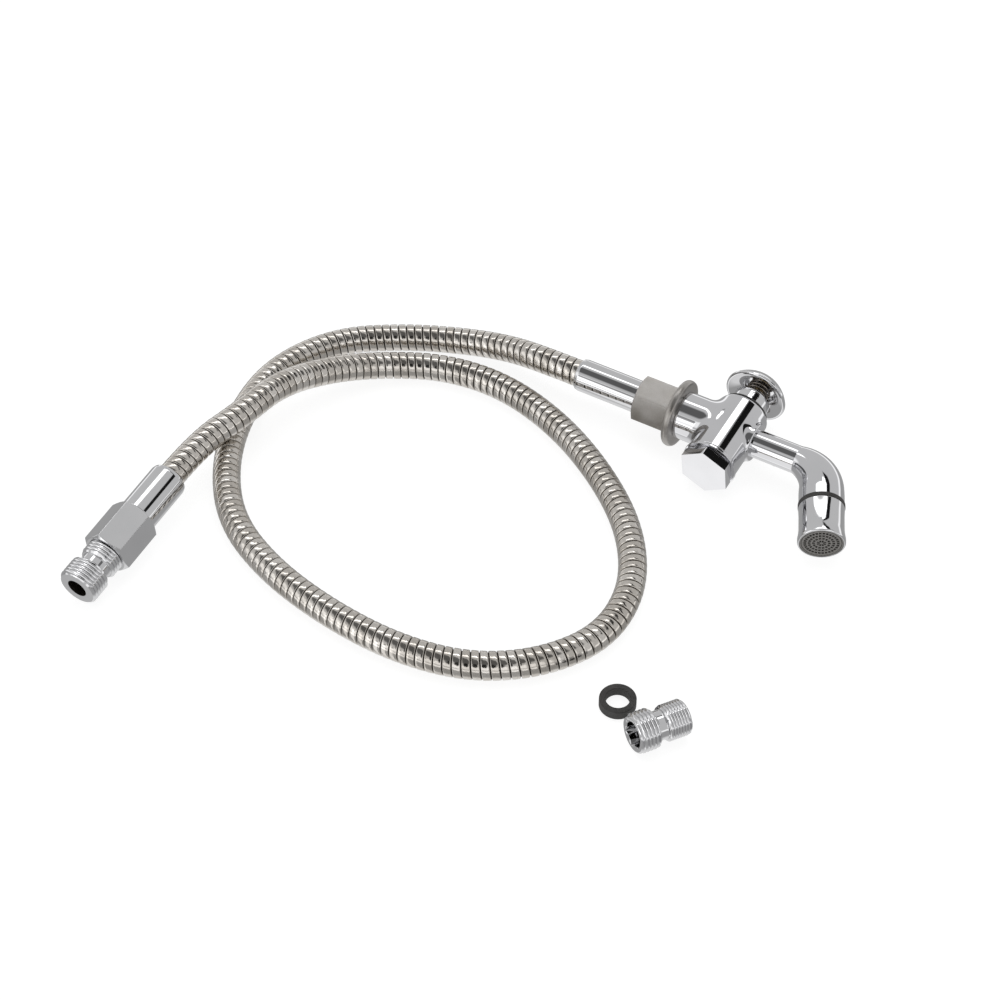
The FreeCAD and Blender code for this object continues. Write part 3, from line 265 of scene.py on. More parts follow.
def hexagon(across_flats, corner_round, per_side=10, per_corner=5):
    """The outline of a hexagon with slightly rounded corners, evenly walked round."""
    inner = across_flats / 2 - corner_round
    half = inner * math.tan(math.radians(30))
    points = []
    for side in range(6):
        middle = math.radians(60 * side + 30)
        next_middle = middle + math.radians(60)
        normal = np.array([math.cos(middle), math.sin(middle)])
        tangent = np.array([-normal[1], normal[0]])
        for t in np.linspace(-1, 1, per_side):
            points.append(normal * (inner + corner_round) + tangent * half * t)
        centre = normal * inner + tangent * half
        for angle in np.linspace(middle, next_middle, per_corner + 2)[1:-1]:
            points.append(centre + corner_round * np.array([math.cos(angle), math.sin(angle)]))
    return np.array(points)


def hexagonal(across_flats, start, end, crown_start, crown_end, bore, corner_round):
    """A hexagonal bar with its corners turned down at one or both ends, and a round bore."""
    outline = hexagon(across_flats, corner_round)
    reach = np.linalg.norm(outline, axis=1)
    directions = outline / reach[:, None]
    face = across_flats / 2 * HEX_FACE
    drop = (reach - face) * HEX_SLOPE

    def round_row(radius, height):
        return np.column_stack([directions * radius, np.full(len(outline), height)])

    rows = [round_row(bore, start)]
    if crown_start:
        rows += [round_row(face, start), np.column_stack([outline, start + drop])]
    else:
        rows += [np.column_stack([outline, np.full(len(outline), start)])]
    if crown_end:
        rows += [np.column_stack([outline, end - drop]), round_row(face, end)]
    else:
        rows += [np.column_stack([outline, np.full(len(outline), end)])]
    rows += [round_row(bore, end)]
    return grid(rows, closed=True)


def root_radius(radius, pitch):
    """Radius of the plain rings that close a thread's ends."""
    return radius - pitch * THREAD_DEPTH - ROOT_GAP


def threaded(radius, pitch, start, end, chamfer_start, chamfer_end, segments=96):
    """A right-hand screw thread; its end rings are circles just inside the thread's root."""
    root = radius - pitch * THREAD_DEPTH
    tooth = [(0.0, root), (0.10, root), (0.42, radius - 0.03), (0.46, radius),
             (0.56, radius), (0.60, radius - 0.03), (0.92, root)]
    angles = np.arange(segments + 1) / segments * 2 * math.pi
    rows = []
    for lap in range(int(start // pitch) - 1, int(end // pitch) + 2):
        for phase, level in tooth:
            along = (lap + phase + angles / (2 * math.pi)) * pitch
            height = np.clip(along, start, end)
            level_here = np.full(segments + 1, level)
            for chamfered, away in ((chamfer_start, height - start), (chamfer_end, end - height)):
                if chamfered:
                    level_here = np.minimum(level_here, root - ROOT_GAP + away)
            rows.append(np.stack(
                [level_here * np.cos(angles), level_here * np.sin(angles), height], axis=-1))
    return grid(rows)


def transport(points):
    """Arc length, directions and two steady side vectors along a line of points."""
    points = np.asarray(points, float)
    ahead = np.gradient(points, axis=0)
    ahead /= np.linalg.norm(ahead, axis=1)[:, None]
    side = np.cross(ahead[0], (0, 0, 1.0))
    if np.linalg.norm(side) < 0.1:
        side = np.cross(ahead[0], (0, 1.0, 0))
    sides = []
    for direction in ahead:
        side = side - direction * (side @ direction)
        side /= np.linalg.norm(side)
        sides.append(side)
    sides = np.array(sides)
    lengths = np.concatenate([[0], np.cumsum(np.linalg.norm(np.diff(points, axis=0), axis=1))])
    return lengths, sides, np.cross(ahead, sides)


def swept(points, radii, segments, cap=True):
    """A round tube along a line of points, with its own radius at each."""
    points = np.asarray(points, float)
    _, sides, ups = transport(points)
    angles = circle_angles(segments)
    radii = np.broadcast_to(radii, len(points))
    rows = (points[:, None] + radii[:, None, None] * (
        sides[:, None] * np.cos(angles)[:, None] + ups[:, None] * np.sin(angles)[:, None]))
    if cap:
        first, last = np.repeat(points[:1], segments, 0), np.repeat(points[-1:], segments, 0)
        rows = np.concatenate([[first], rows, [last]])
    return grid(rows, closed=True)


def iso_surface(field, low, high, cell):
    """A mesh of the surface where field is zero, with each point moved onto it."""
    axes = [np.arange(a, b + cell, cell) for a, b in zip(low, high)]
    corners = np.stack(np.meshgrid(*axes, indexing="ij"), axis=-1)
    inside = field(corners) < 0
    size = np.array(inside.shape) - 1
    filled = sum(inside[i:size[0] + i, j:size[1] + j, k:size[2] + k].astype(int)
                 for i in (0, 1) for j in (0, 1) for k in (0, 1))
    crossed = (filled > 0) & (filled < 8)
    number = np.full(crossed.shape, -1)
    number[crossed] = np.arange(crossed.sum())
    points = (np.argwhere(crossed) + 0.5) * cell + np.array(low)
    faces = []
    for axis in range(3):
        other, third = (axis + 1) % 3, (axis + 2) % 3
        flip = np.diff(inside.astype(int), axis=axis)
        for sign in (1, -1):
            place = np.argwhere(flip == sign)
            place = place[(place[:, other] > 0) & (place[:, third] > 0)]
            place = place[(place[:, other] < size[other]) & (place[:, third] < size[third])]
            around = []
            for back, down in ((1, 1), (0, 1), (0, 0), (1, 0)):
                cells = place.copy()
                cells[:, other] -= back
                cells[:, third] -= down
                around.append(number[tuple(cells.T)])
            quad = np.stack(around, axis=-1)
            faces.append(quad if sign < 0 else quad[:, ::-1])
    for _ in range(5):
        slope = field_slope(field, points)
        points = points - field(points)[:, None] * slope / (slope ** 2).sum(1)[:, None]
    return points, np.concatenate(faces)


def field_slope(field, points, reach=0.02):
    return np.stack([
        (field(points + reach * np.eye(3)[k]) - field(points - reach * np.eye(3)[k])) / (2 * reach)
        for k in range(3)], axis=-1)


# ---------------------------------------------------------------- materials

class Nodes:
    """Short names for the nodes of one node tree."""

    def __init__(self, tree):
        self.tree = tree

    def add(self, kind, **settings):
        node = self.tree.nodes.new(kind)
        for key, value in settings.items():
            setattr(node, key, value)
        return node

    def put(self, socket, value):
        if isinstance(value, bpy.types.NodeSocket):
            self.tree.links.new(value, socket)
        else:
            socket.default_value = value

    def math(self, operation, first, second=0.0):
        node = self.add("ShaderNodeMath", operation=operation)
        self.put(node.inputs[0], first)
        self.put(node.inputs[1], second)
        return node.outputs[0]

    def remap(self, value, low, high, to_low=0.0, to_high=1.0):
        node = self.add("ShaderNodeMapRange")
        self.put(node.inputs["Value"], value)
        for name, number in (("From Min", low), ("From Max", high),
                             ("To Min", to_low), ("To Max", to_high)):
            self.put(node.inputs[name], number)
        return node.outputs["Result"]

    def mix(self, share, first, second):
        node = self.add("ShaderNodeMix", data_type="RGBA")
        self.put(node.inputs["Factor"], share)
        self.put(node.inputs[6], first)
        self.put(node.inputs[7], second)
        return node.outputs[2]

    def noise(self, scale, detail):
        place = self.add("ShaderNodeTexCoord")
        node = self.add("ShaderNodeTexNoise")
        self.put(node.inputs["Vector"], place.outputs["Object"])
        self.put(node.inputs["Scale"], scale)
        self.put(node.inputs["Detail"], detail)
        return node.outputs["Fac"]

    def attribute(self, name):
        return self.add("ShaderNodeAttribute", attribute_name=name).outputs["Fac"]

    def bump(self, height, strength, distance):
        node = self.add("ShaderNodeBump")
        self.put(node.inputs["Height"], height)
        self.put(node.inputs["Strength"], strength)
        self.put(node.inputs["Distance"], distance)
        return node.outputs["Normal"]


def new_material(name):
    material = bpy.data.materials.new(name)
    material.use_nodes = True
    nodes = Nodes(material.node_tree)
    return material, nodes, material.node_tree.nodes["Principled BSDF"].inputs


def metal(name, color, dark, roughness, spread, grain, bump_strength, bump_distance):
    """A metal whose tone, polish and surface vary with a fine grain."""
    material, nodes, shader = new_material(name)
    cloud = nodes.noise(60, 3)
    fine = nodes.noise(grain, 4)
    nodes.put(shader["Base Color"], nodes.mix(nodes.remap(cloud, 0.35, 0.65), color, dark))
    nodes.put(shader["Roughness"],
              nodes.remap(fine, 0.3, 0.7, roughness - spread, roughness + spread))
    nodes.put(shader["Normal"], nodes.bump(fine, bump_strength, bump_distance))
    shader["Metallic"].default_value = 1.0
    return material


def chrome(name, color, roughness):
    return metal(name, color, tuple(c * 0.96 for c in color[:3]) + (1,), roughness, 0.015,
                 700, 0.05, 0.00002)


def hose_steel():
    """Strip-wound steel: each turn has its own tone, with brushed lines, and painted shade in the
    grooves between bands.
    """
    material, nodes, shader = new_material("hose_steel")
    turn_number = nodes.attribute("turn")
    toss = nodes.add("ShaderNodeTexWhiteNoise", noise_dimensions="1D")
    nodes.put(toss.inputs["W"], nodes.math("FLOOR", turn_number))
    tone = nodes.mix(toss.outputs["Value"], (0.60, 0.565, 0.52, 1), (0.78, 0.75, 0.71, 1))
    fine = nodes.noise(1400, 3)
    tone = nodes.mix(nodes.remap(fine, 0.35, 0.75, 0, 0.4), tone, (0.34, 0.31, 0.27, 1))
    groove_shade = nodes.attribute("groove_shade")
    # The grooves between bands get painted shade: near black, and rougher.
    nodes.put(shader["Base Color"], nodes.mix(groove_shade, tone, (0.05, 0.045, 0.04, 1)))
    polish = nodes.remap(nodes.noise(260, 2), 0.3, 0.7, 0.09, 0.18)
    nodes.put(shader["Roughness"], nodes.math("ADD", polish, nodes.math("MULTIPLY", groove_shade, 0.5)))
    nodes.put(shader["Normal"], nodes.bump(fine, 0.25, 0.00005))
    shader["Metallic"].default_value = 1.0
    return material


def bead_blasted():
    """Grey bead-blasted steel with faint tool marks round it."""
    material, nodes, shader = new_material("bead_blasted")
    grains = nodes.noise(2600, 3)
    patches = nodes.noise(90, 4)
    tone = nodes.mix(nodes.remap(patches, 0.3, 0.7), (0.34, 0.32, 0.295, 1), (0.48, 0.465, 0.45, 1))
    nodes.put(shader["Base Color"], nodes.mix(
        nodes.remap(grains, 0.4, 0.8, 0, 0.3), tone, (0.18, 0.165, 0.15, 1)))
    nodes.put(shader["Roughness"], nodes.remap(patches, 0.3, 0.7, 0.26, 0.38))
    nodes.put(shader["Normal"], nodes.bump(grains, 0.35, 0.00006))
    shader["Metallic"].default_value = 0.9
    return material


def rubber():
    material, nodes, shader = new_material("black_rubber")
    speckle = nodes.noise(1800, 4)
    worn = nodes.noise(150, 3)
    nodes.put(shader["Base Color"], nodes.mix(
        nodes.remap(worn, 0.3, 0.7), (0.022, 0.021, 0.020, 1), (0.042, 0.040, 0.038, 1)))
    nodes.put(shader["Roughness"], nodes.remap(speckle, 0.3, 0.7, 0.50, 0.68))
    nodes.put(shader["Normal"], nodes.bump(speckle, 0.3, 0.00006))
    return material


def plastic(name, dark, light):
    material, nodes, shader = new_material(name)
    speckle = nodes.noise(2200, 3)
    nodes.put(shader["Base Color"], nodes.mix(nodes.remap(speckle, 0.3, 0.7), dark, light))
    nodes.put(shader["Roughness"], nodes.remap(speckle, 0.3, 0.7, 0.38, 0.52))
    nodes.put(shader["Normal"], nodes.bump(speckle, 0.2, 0.00004))
    return material


CHROME = chrome("chrome_body", (0.70, 0.70, 0.715, 1), 0.035)
SMALL_CHROME = chrome("chrome_small", (0.69, 0.69, 0.70, 1), 0.05)
HOSE = hose_steel()
SATIN = bead_blasted()
RUBBER = rubber()
PLASTIC = plastic("grey_plastic", (0.125, 0.120, 0.112, 1), (0.18, 0.172, 0.162, 1))
# Near-black painted shade for the floors of the aerator's slots and rim groove.
SLOT_SHADE_PAINT = plastic("slot_shade", (0.006, 0.006, 0.006, 1), (0.012, 0.011, 0.010, 1))
SPRING = metal("spring_steel", (0.30, 0.27, 0.24, 1), (0.20, 0.18, 0.16, 1), 0.28, 0.06,
               900, 0.2, 0.00003)
BRASS = metal("brass_inside", (0.72, 0.56, 0.30, 1), (0.60, 0.45, 0.22, 1), 0.25, 0.06,
              1200, 0.2, 0.00003)
# Dark brown painted shade for the insides of bores and of the spanner holes.
BORE_SHADE_PAINT = metal("painted_bore_shade", (0.10, 0.085, 0.07, 1), (0.07, 0.06, 0.05, 1), 0.45, 0.08,
             900, 0.2, 0.00003)
SCREEN = metal("wire_screen", (0.50, 0.50, 0.50, 1), (0.40, 0.40, 0.40, 1), 0.3, 0.05,
               5000, 0.5, 0.0001)


# ---------------------------------------------------------------- pieces

def piece(name, shape, place, material, body="faucet", stands_for=(), sharp=32.0,
          bevel=0.0, normals=None):
    """Make one visible piece from a shape in millimetres and let it ride on a body."""
    vertices, faces = shape
    mesh = bpy.data.meshes.new(name)
    mesh.from_pydata(vertices.tolist(), [], [tuple(dict.fromkeys(face)) for face in faces.tolist()])
    if normals is None:
        clean(mesh, sharp)
    mesh.transform(place @ Matrix.Scale(MM, 4))
    mesh.materials.append(material)
    thing = bpy.data.objects.new(name, mesh)
    bpy.context.scene.collection.objects.link(thing)
    if normals is not None:
        mesh.shade_smooth()
        turned_normals = [(place.to_3x3() @ Vector(normal)).normalized() for normal in normals]
        mesh.normals_split_custom_set_from_vertices(turned_normals)
    if bevel:
        bevelled(thing, bevel, sharp)
    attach(thing, body)
    if stands_for:
        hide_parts(*stands_for)
    return thing


def clean(mesh, sharp):
    """Merge doubled points, drop empty faces, turn faces outwards and mark sharp edges."""
    work = bmesh.new()
    work.from_mesh(mesh)
    bmesh.ops.remove_doubles(work, verts=work.verts, dist=MERGE)
    bmesh.ops.dissolve_degenerate(work, edges=work.edges, dist=MERGE)
    bmesh.ops.recalc_face_normals(work, faces=work.faces)
    limit = math.radians(sharp)
    for face in work.faces:
        face.smooth = True
    for edge in work.edges:
        edge.smooth = len(edge.link_faces) == 2 and edge.calc_face_angle(0) < limit
    work.to_mesh(mesh)
    work.free()


def bevelled(thing, width, sharp):
    modifier = thing.modifiers.new("edges", "BEVEL")
    modifier.width = width * MM
    modifier.segments = 2
    modifier.limit_method = "ANGLE"
    modifier.angle_limit = math.radians(sharp)
    modifier.harden_normals = True
    graph = bpy.context.evaluated_depsgraph_get()
    shaped = bpy.data.meshes.new_from_object(thing.evaluated_get(graph))
    thing.modifiers.clear()
    thing.data = shaped


def smooth_min(first, second, blend):
    gap = np.maximum(blend - np.abs(first - second), 0) / blend
    return np.minimum(first, second) - gap * gap * blend / 4


def capped_rod(points, axis, radius, low, high, edge=0.0):
    """Distance to a rod along one axis, with rounded end edges."""
    others = [k for k in range(3) if k != axis]
    across = np.hypot(points[..., others[0]], points[..., others[1]]) - radius + edge
    along = np.abs(points[..., axis] - (low + high) / 2) - (high - low) / 2 + edge
    outside = np.hypot(np.maximum(across, 0), np.maximum(along, 0))
    return outside + np.minimum(np.maximum(across, along), 0) - edge


def casting(points):
    """The valve's cross-shaped casting, with its bores, in the frame of the head."""
    barrel = np.minimum(capped_rod(points, 1, BARREL_RADIUS, CAP_END, 0.0, 0.9),
                        capped_rod(points, 1, BARREL_RADIUS, -5.0, BONNET_END, 2.2))
    inlet_boss = capped_rod(points, 0, INLET_BOSS_RADIUS, INLET_BOSS_END, -6.0, 0.2)
    spout_boss = capped_rod(points, 0, SPOUT_BOSS_RADIUS, -2.0, SPOUT_BOSS_END, 0.9)
    outer = smooth_min(smooth_min(barrel, inlet_boss, INLET_FILLET), spout_boss, SPOUT_FILLET)
    outer = np.maximum(outer, INLET_BOSS_END - points[..., 0])
    outer = np.maximum(outer, np.maximum(CAP_END - points[..., 1], points[..., 1] - BONNET_END))
    front, back = -24.0, 18.0               # past both ends of the barrel
    hollow = capped_rod(points, 1, CAP_BORE, front, CAP_BORE_END)
    for radius, low, high in ((WET_CHAMBER, front, SEAT_WALL[0]), (SEAT_BORE, front, back),
                              (DRY_CHAMBER, SEAT_WALL[1], back),
                              (BONNET_BORE, BONNET_BORE_END, back)):
        hollow = np.minimum(hollow, capped_rod(points, 1, radius, low, high))
    return np.maximum(outer, -hollow)


def valve_casting():
    shape = iso_surface(casting, (-27.5, -23, -15.5), (16.5, 17, 15.5), CASTING_CELL)
    normals = field_slope(casting, shape[0])
    piece("valve_casting", shape, HEAD, CHROME, stands_for=["valve_body"],
          normals=normals)
    spigot = turned([(2.9, SPIGOT_END), (SPIGOT_RADIUS - 0.2, SPIGOT_END),
                     (SPIGOT_RADIUS, SPIGOT_END + 0.4), (SPIGOT_RADIUS, INLET_BOSS_END + 0.2)])
    piece("valve_spigot", spigot, HEAD @ ALONG_X, CHROME)


def head_caps():
    hexagon_end, bore, bore_end = -22.7, 7.8, -26.1
    cap = joined(
        hexagonal(CAP_FLATS, CAP_FACE, hexagon_end, False, True, 0.0, 0.35),
        turned([(0, hexagon_end), (CAP_FLANGE - 0.1, hexagon_end), (CAP_FLANGE, hexagon_end + 0.2),
                (CAP_FLANGE, CAP_END), (CAP_THREAD, CAP_END), (CAP_THREAD, -12.5), (bore, -12.5),
                (bore, bore_end), (0, bore_end)], 0.12))
    piece("cap_hexagon", cap, HEAD @ ALONG_Y @ spin("Z", CAP_TURN), CHROME,
          stands_for=["hex_cap"], sharp=20, bevel=0.12)
    seat, spring_wall, thread = BONNET_END + GASKET, 6.9, 8.5
    ring = turned([(spring_wall, BONNET_FLOOR), (spring_wall, BONNET_TOP),
                   (BONNET_RADIUS, BONNET_TOP), (BONNET_RADIUS, seat), (thread, seat),
                   (thread, BONNET_BORE_END), (4.5, BONNET_BORE_END),
                   (STEM_HOLE, BONNET_BORE_END), (STEM_HOLE, BONNET_FLOOR),
                   (spring_wall, BONNET_FLOOR)], 0.45, segments=160)
    holes = HEAD @ ALONG_Y @ spin("Z", HOLE_TURN)
    piece("bonnet_ring", ring, holes, SMALL_CHROME, stands_for=["bonnet"])
    for side, name in ((-1, "near"), (1, "far")):
        # Each spanner hole is a shallow dark disc: painted shade for the hole's inside.
        hole_shade = turned([(0, 0.0), (1.75, 0.0), (1.8, 0.25), (1.95, 0.31)], 0.02, segments=40)
        spot = holes @ step(0, side * HOLE_REACH, HOLE_ALONG) @ spin("X", -90 * side)
        piece(f"spanner_hole_{name}", hole_shade, spot, BORE_SHADE_PAINT)
    seal = turned([(BONNET_BORE, BONNET_END), (12.2, BONNET_END), (12.2, seat),
                   (BONNET_BORE, seat)], 0.3, closed=True)
    piece("bonnet_seal", seal, HEAD @ ALONG_Y, RUBBER,
          stands_for=["bonnet_gasket"])


def push_button():
    rise = BUTTON_CROWN - BUTTON_RIM
    sphere = (BUTTON_RADIUS ** 2 + rise ** 2) / (2 * rise)
    dome = [(BUTTON_RADIUS * t,
             BUTTON_CROWN - sphere + math.sqrt(sphere ** 2 - (BUTTON_RADIUS * t) ** 2))
            for t in np.linspace(1, 0, 30)]
    inner = np.array(BOWL_INNER)
    chord = np.array(BOWL_OUTER) - inner
    half = np.linalg.norm(chord) / 2
    inward = np.array([chord[1], -chord[0]]) / (2 * half)
    centre = inner + chord / 2 + inward * -math.sqrt(BOWL_SPHERE ** 2 - half ** 2)
    bowl = []
    for t in np.linspace(0, 1, 24):
        point = inner + chord * t - centre
        bowl.append(tuple(centre + point * BOWL_SPHERE / np.linalg.norm(point)))
    hub = [(2.5, 30.5), (4.3, 30.5), (4.3, BOWL_INNER[1])]
    outline = hub + bowl + [(15.5, 27.6), (16.1, 27.9)] + dome
    piece("button_cap", turned(outline, 0.2, segments=160), HEAD @ ALONG_Y, SMALL_CHROME,
          body="push_button", stands_for=["button"])


def spring_coil():
    angles = np.linspace(0, COIL_TURNS * 2 * math.pi, 420)
    line = np.stack([COIL_RADIUS * np.cos(angles), COIL_RADIUS * np.sin(angles),
                     COIL_LOW + (COIL_HIGH - COIL_LOW) * angles / angles[-1]], axis=-1)
    coil = piece("spring_coil", swept(line, WIRE_RADIUS, 16), HEAD @ ALONG_Y, SPRING,
                 stands_for=["return_spring"])
    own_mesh(coil)


def spout_and_elbow():
    pipe = turned([(PIPE_BORE, PIPE_START), (PIPE_RADIUS, PIPE_START), (PIPE_RADIUS, PIPE_END),
                   (PIPE_BORE, PIPE_END)], 0.3)
    piece("spout_tube", pipe, HEAD @ ALONG_X, CHROME, stands_for=["spout_pipe"])
    nub = turned([(0, 0.55), (0.5, 0.5), (0.85, 0.25), (0.95, -0.3)], 0.2, segments=32)
    nub_place = HEAD @ step(NUB_ALONG, 0, 0) @ spin("X", NUB_TURN) @ step(0, 0, NUB_SEAT)
    piece("casting_nub", nub, nub_place, CHROME)

    angle = math.radians(ELBOW_ANGLE)
    bend = ELBOW_ENTRY / math.tan(angle / 2)
    arc, leg = bend * angle, ELBOW_LEG - ELBOW_ENTRY
    line, radii = [], []
    for run in np.linspace(0, arc + leg, 72):
        if run <= arc:
            by = run / bend
            line.append((ELBOW_CORNER - ELBOW_ENTRY + bend * math.sin(by),
                         -bend * (1 - math.cos(by)), 0))
        else:
            out = ELBOW_ENTRY + run - arc
            line.append((ELBOW_CORNER + out * math.cos(angle), -out * math.sin(angle), 0))
        way = run / (arc + leg)
        swell = 1 - (1 - min(way / SWELL_END, 1.0)) ** SWELL_POWER
        radii.append(ELBOW_START_RADIUS + ELBOW_SWELL * swell)
    piece("spout_bend", swept(line, np.array(radii), 128, cap=False), SPOUT_HEAD, CHROME,
          stands_for=["spout_elbow"])


def slotted_face(radius, thickness, face):
    """A moulded disc with rings of short slots, and the floors of those slots and of the rim groove
    on their own, for painted shade.
    """
    radii = [0.0, 0.45]
    for inner, outer, _ in SLOT_RINGS:
        radii += [inner, outer]
    radii += [radius - 1.0, radius - 0.7, radius]
    angles = circle_angles(FACE_SECTORS)
    depth = np.zeros((len(radii) - 1, FACE_SECTORS))
    for inner, _, count in SLOT_RINGS:
        phase = (np.arange(FACE_SECTORS) + 0.5) / FACE_SECTORS * count % 1.0
        depth[radii.index(inner)] = np.where(np.abs(phase - 0.5) < SLOT_SHARE, SLOT_DEPTH, 0.0)
    depth[len(radii) - 3] = RIM_GROOVE_DEPTH
    steps = np.stack([np.cos(angles), np.sin(angles)], axis=-1)
    ends = np.roll(steps, -1, axis=0)
    plate, floors = [], []

    def add_quads(sheets, corners):
        corners = np.asarray(corners, float).reshape(-1, 4, 3)
        sheets.append((corners.reshape(-1, 3), np.arange(len(corners) * 4).reshape(-1, 4)))

    def at(direction, reach, height):
        return np.column_stack([direction * reach, height])

    for level in range(len(radii) - 1):
        near, far = radii[level], radii[level + 1]
        height = face - depth[level]
        flat = np.stack([at(steps, near, height), at(steps, far, height),
                         at(ends, far, height), at(ends, near, height)], axis=1)
        sunk = depth[level] > 0
        add_quads(floors, flat[sunk])
        add_quads(plate, flat[~sunk])
        after = np.roll(height, -1)
        wall = after != height
        add_quads(plate, np.stack([at(ends, near, height), at(ends, far, height),
                                   at(ends, far, after), at(ends, near, after)], axis=1)[wall])
        last = level + 2 == len(radii)
        outward = np.full(FACE_SECTORS, face) if last else face - depth[level + 1]
        wall = outward != height
        add_quads(plate, np.stack([at(steps, far, height), at(ends, far, height),
                                   at(ends, far, outward), at(steps, far, outward)], axis=1)[wall])
    rim = turned([(radius, face), (radius, face - thickness), (0, face - thickness)], 0.1,
                 segments=FACE_SECTORS)
    return joined(*plate, rim), joined(*floors)


def aerator():
    low, high = ELBOW_LEG, ELBOW_LEG + RING_THICKNESS
    ring = turned([(8.1, low), (11.2, low), (11.45, low + 0.4), (11.45, high - 0.4), (11.2, high),
                   (8.1, high)], 0.3, closed=True)
    piece("aerator_ring", ring, SPOUT, RUBBER, stands_for=["aerator_gasket"])
    housing = turned([(9.8, high), (11.25, high), (11.12, high + 2.2), (11.0, high + 5.0),
                      (11.0, MOUTH - 8.0), (11.15, MOUTH - 5.5), (11.6, MOUTH - 2.7),
                      (11.6, MOUTH - 0.5), (11.1, MOUTH), (10.6, MOUTH), (10.6, MOUTH - 13.0),
                      (9.8, MOUTH - 13.0)], 0.35, closed=True)
    piece("aerator_sleeve", housing, SPOUT, SMALL_CHROME,
          stands_for=["aerator_housing"])
    plate, floors = slotted_face(FACE_RADIUS, FACE_THICKNESS, MOUTH - FACE_RECESS)
    piece("aerator_face", plate, SPOUT, PLASTIC, stands_for=["aerator_insert"],
          sharp=25)
    # The floors of the slots and of the rim groove are painted shade.
    piece("aerator_slot_shade", floors, SPOUT, SLOT_SHADE_PAINT)


def collar():
    inner_rim, tip = 15.3, FLANGE_RADIUS - 0.5
    body = joined(
        hexagonal(COLLAR_FLATS, COLLAR_START, FLANGE_START + 0.2, True, False,
                  OUTLET_SLEEVE_RADIUS + 0.05, 0.3),
        turned([(8.4, FLANGE_START), (inner_rim, FLANGE_START), (tip, -29.9),
                (FLANGE_RADIUS, -28.6), (FLANGE_RADIUS, -27.6), (tip, -26.3),
                (inner_rim, INLET_BOSS_END), (9.6, INLET_BOSS_END)], 0.6, segments=160))
    piece("collar_nut", body, HEAD @ ALONG_X @ spin("Z", COLLAR_TURN), SATIN,
          stands_for=["hook_collar"], sharp=26, bevel=0.2)


def sleeve(radius, mouth, far_end):
    """A crimped sleeve, rounded at the mouth that takes the hose."""
    return turned([(TAIL_RADIUS, mouth + SLEEVE_GRIP), (TAIL_MOUTH, mouth + SLEEVE_GRIP),
                   (TAIL_MOUTH, mouth), (radius - 1.3, mouth), (radius - 0.45, mouth + 0.6),
                   (radius, mouth + 2.2), (radius, far_end - 0.6), (radius - 0.6, far_end),
                   (TAIL_RADIUS, far_end)], 0.3)


def sleeves():
    """Both crimped sleeves; the inlet's is given back."""
    outlet = sleeve(OUTLET_SLEEVE_RADIUS, OUTLET_SLEEVE_START, OUTLET_SLEEVE_END)
    piece("outlet_sleeve", outlet, HEAD @ ALONG_X, SMALL_CHROME,
          stands_for=["outlet_ferrule"])
    return piece("inlet_sleeve", sleeve(INLET_SLEEVE_RADIUS, 0.0, INLET_SLEEVE_END), INLET,
                 SMALL_CHROME, stands_for=["inlet_ferrule"])


def inlet_fittings():
    """The coupling and nipple at the hose's far end, given back."""
    nut = hexagonal(COUPLING_FLATS, INLET_SLEEVE_END, COUPLING_END, True, True, 9.4, 0.3)
    coupling = piece("coupling_nut", nut, INLET @ spin("Z", COUPLING_TURN), SMALL_CHROME,
                     stands_for=["inlet_coupling"], sharp=20, bevel=0.15)
    inner_root = root_radius(HOSE_THREAD_RADIUS, UN_PITCH)
    outer_root = root_radius(NIPPLE_OUTER_RADIUS, UN_PITCH)
    screw = joined(
        threaded(HOSE_THREAD_RADIUS, UN_PITCH, NIPPLE_START, NIPPLE_INNER_END, False, True),
        turned([(inner_root, NIPPLE_INNER_END), (NIPPLE_NECK, NIPPLE_INNER_END),
                (NIPPLE_NECK, NIPPLE_OUTER_START), (outer_root, NIPPLE_OUTER_START)], 0.4),
        threaded(NIPPLE_OUTER_RADIUS, UN_PITCH, NIPPLE_OUTER_START, NIPPLE_END, True, True),
        turned([(outer_root, NIPPLE_END), (NIPPLE_BORE, NIPPLE_END)], 0.25))
    nipple = piece("nipple_screw", screw, INLET, SMALL_CHROME,
                   stands_for=["inlet_nipple"], sharp=50)
    # Painted shade inside the nipple's bore, closed by a dark disc where the bore goes on.
    bore = turned([(NIPPLE_BORE, NIPPLE_END), (NIPPLE_BORE, BORE_SHADE_START),
                   (0, BORE_SHADE_START)], 0.1)
    shaded_bore = piece("nipple_bore", bore, INLET, BORE_SHADE_PAINT)
    return [coupling, nipple, shaded_bore]


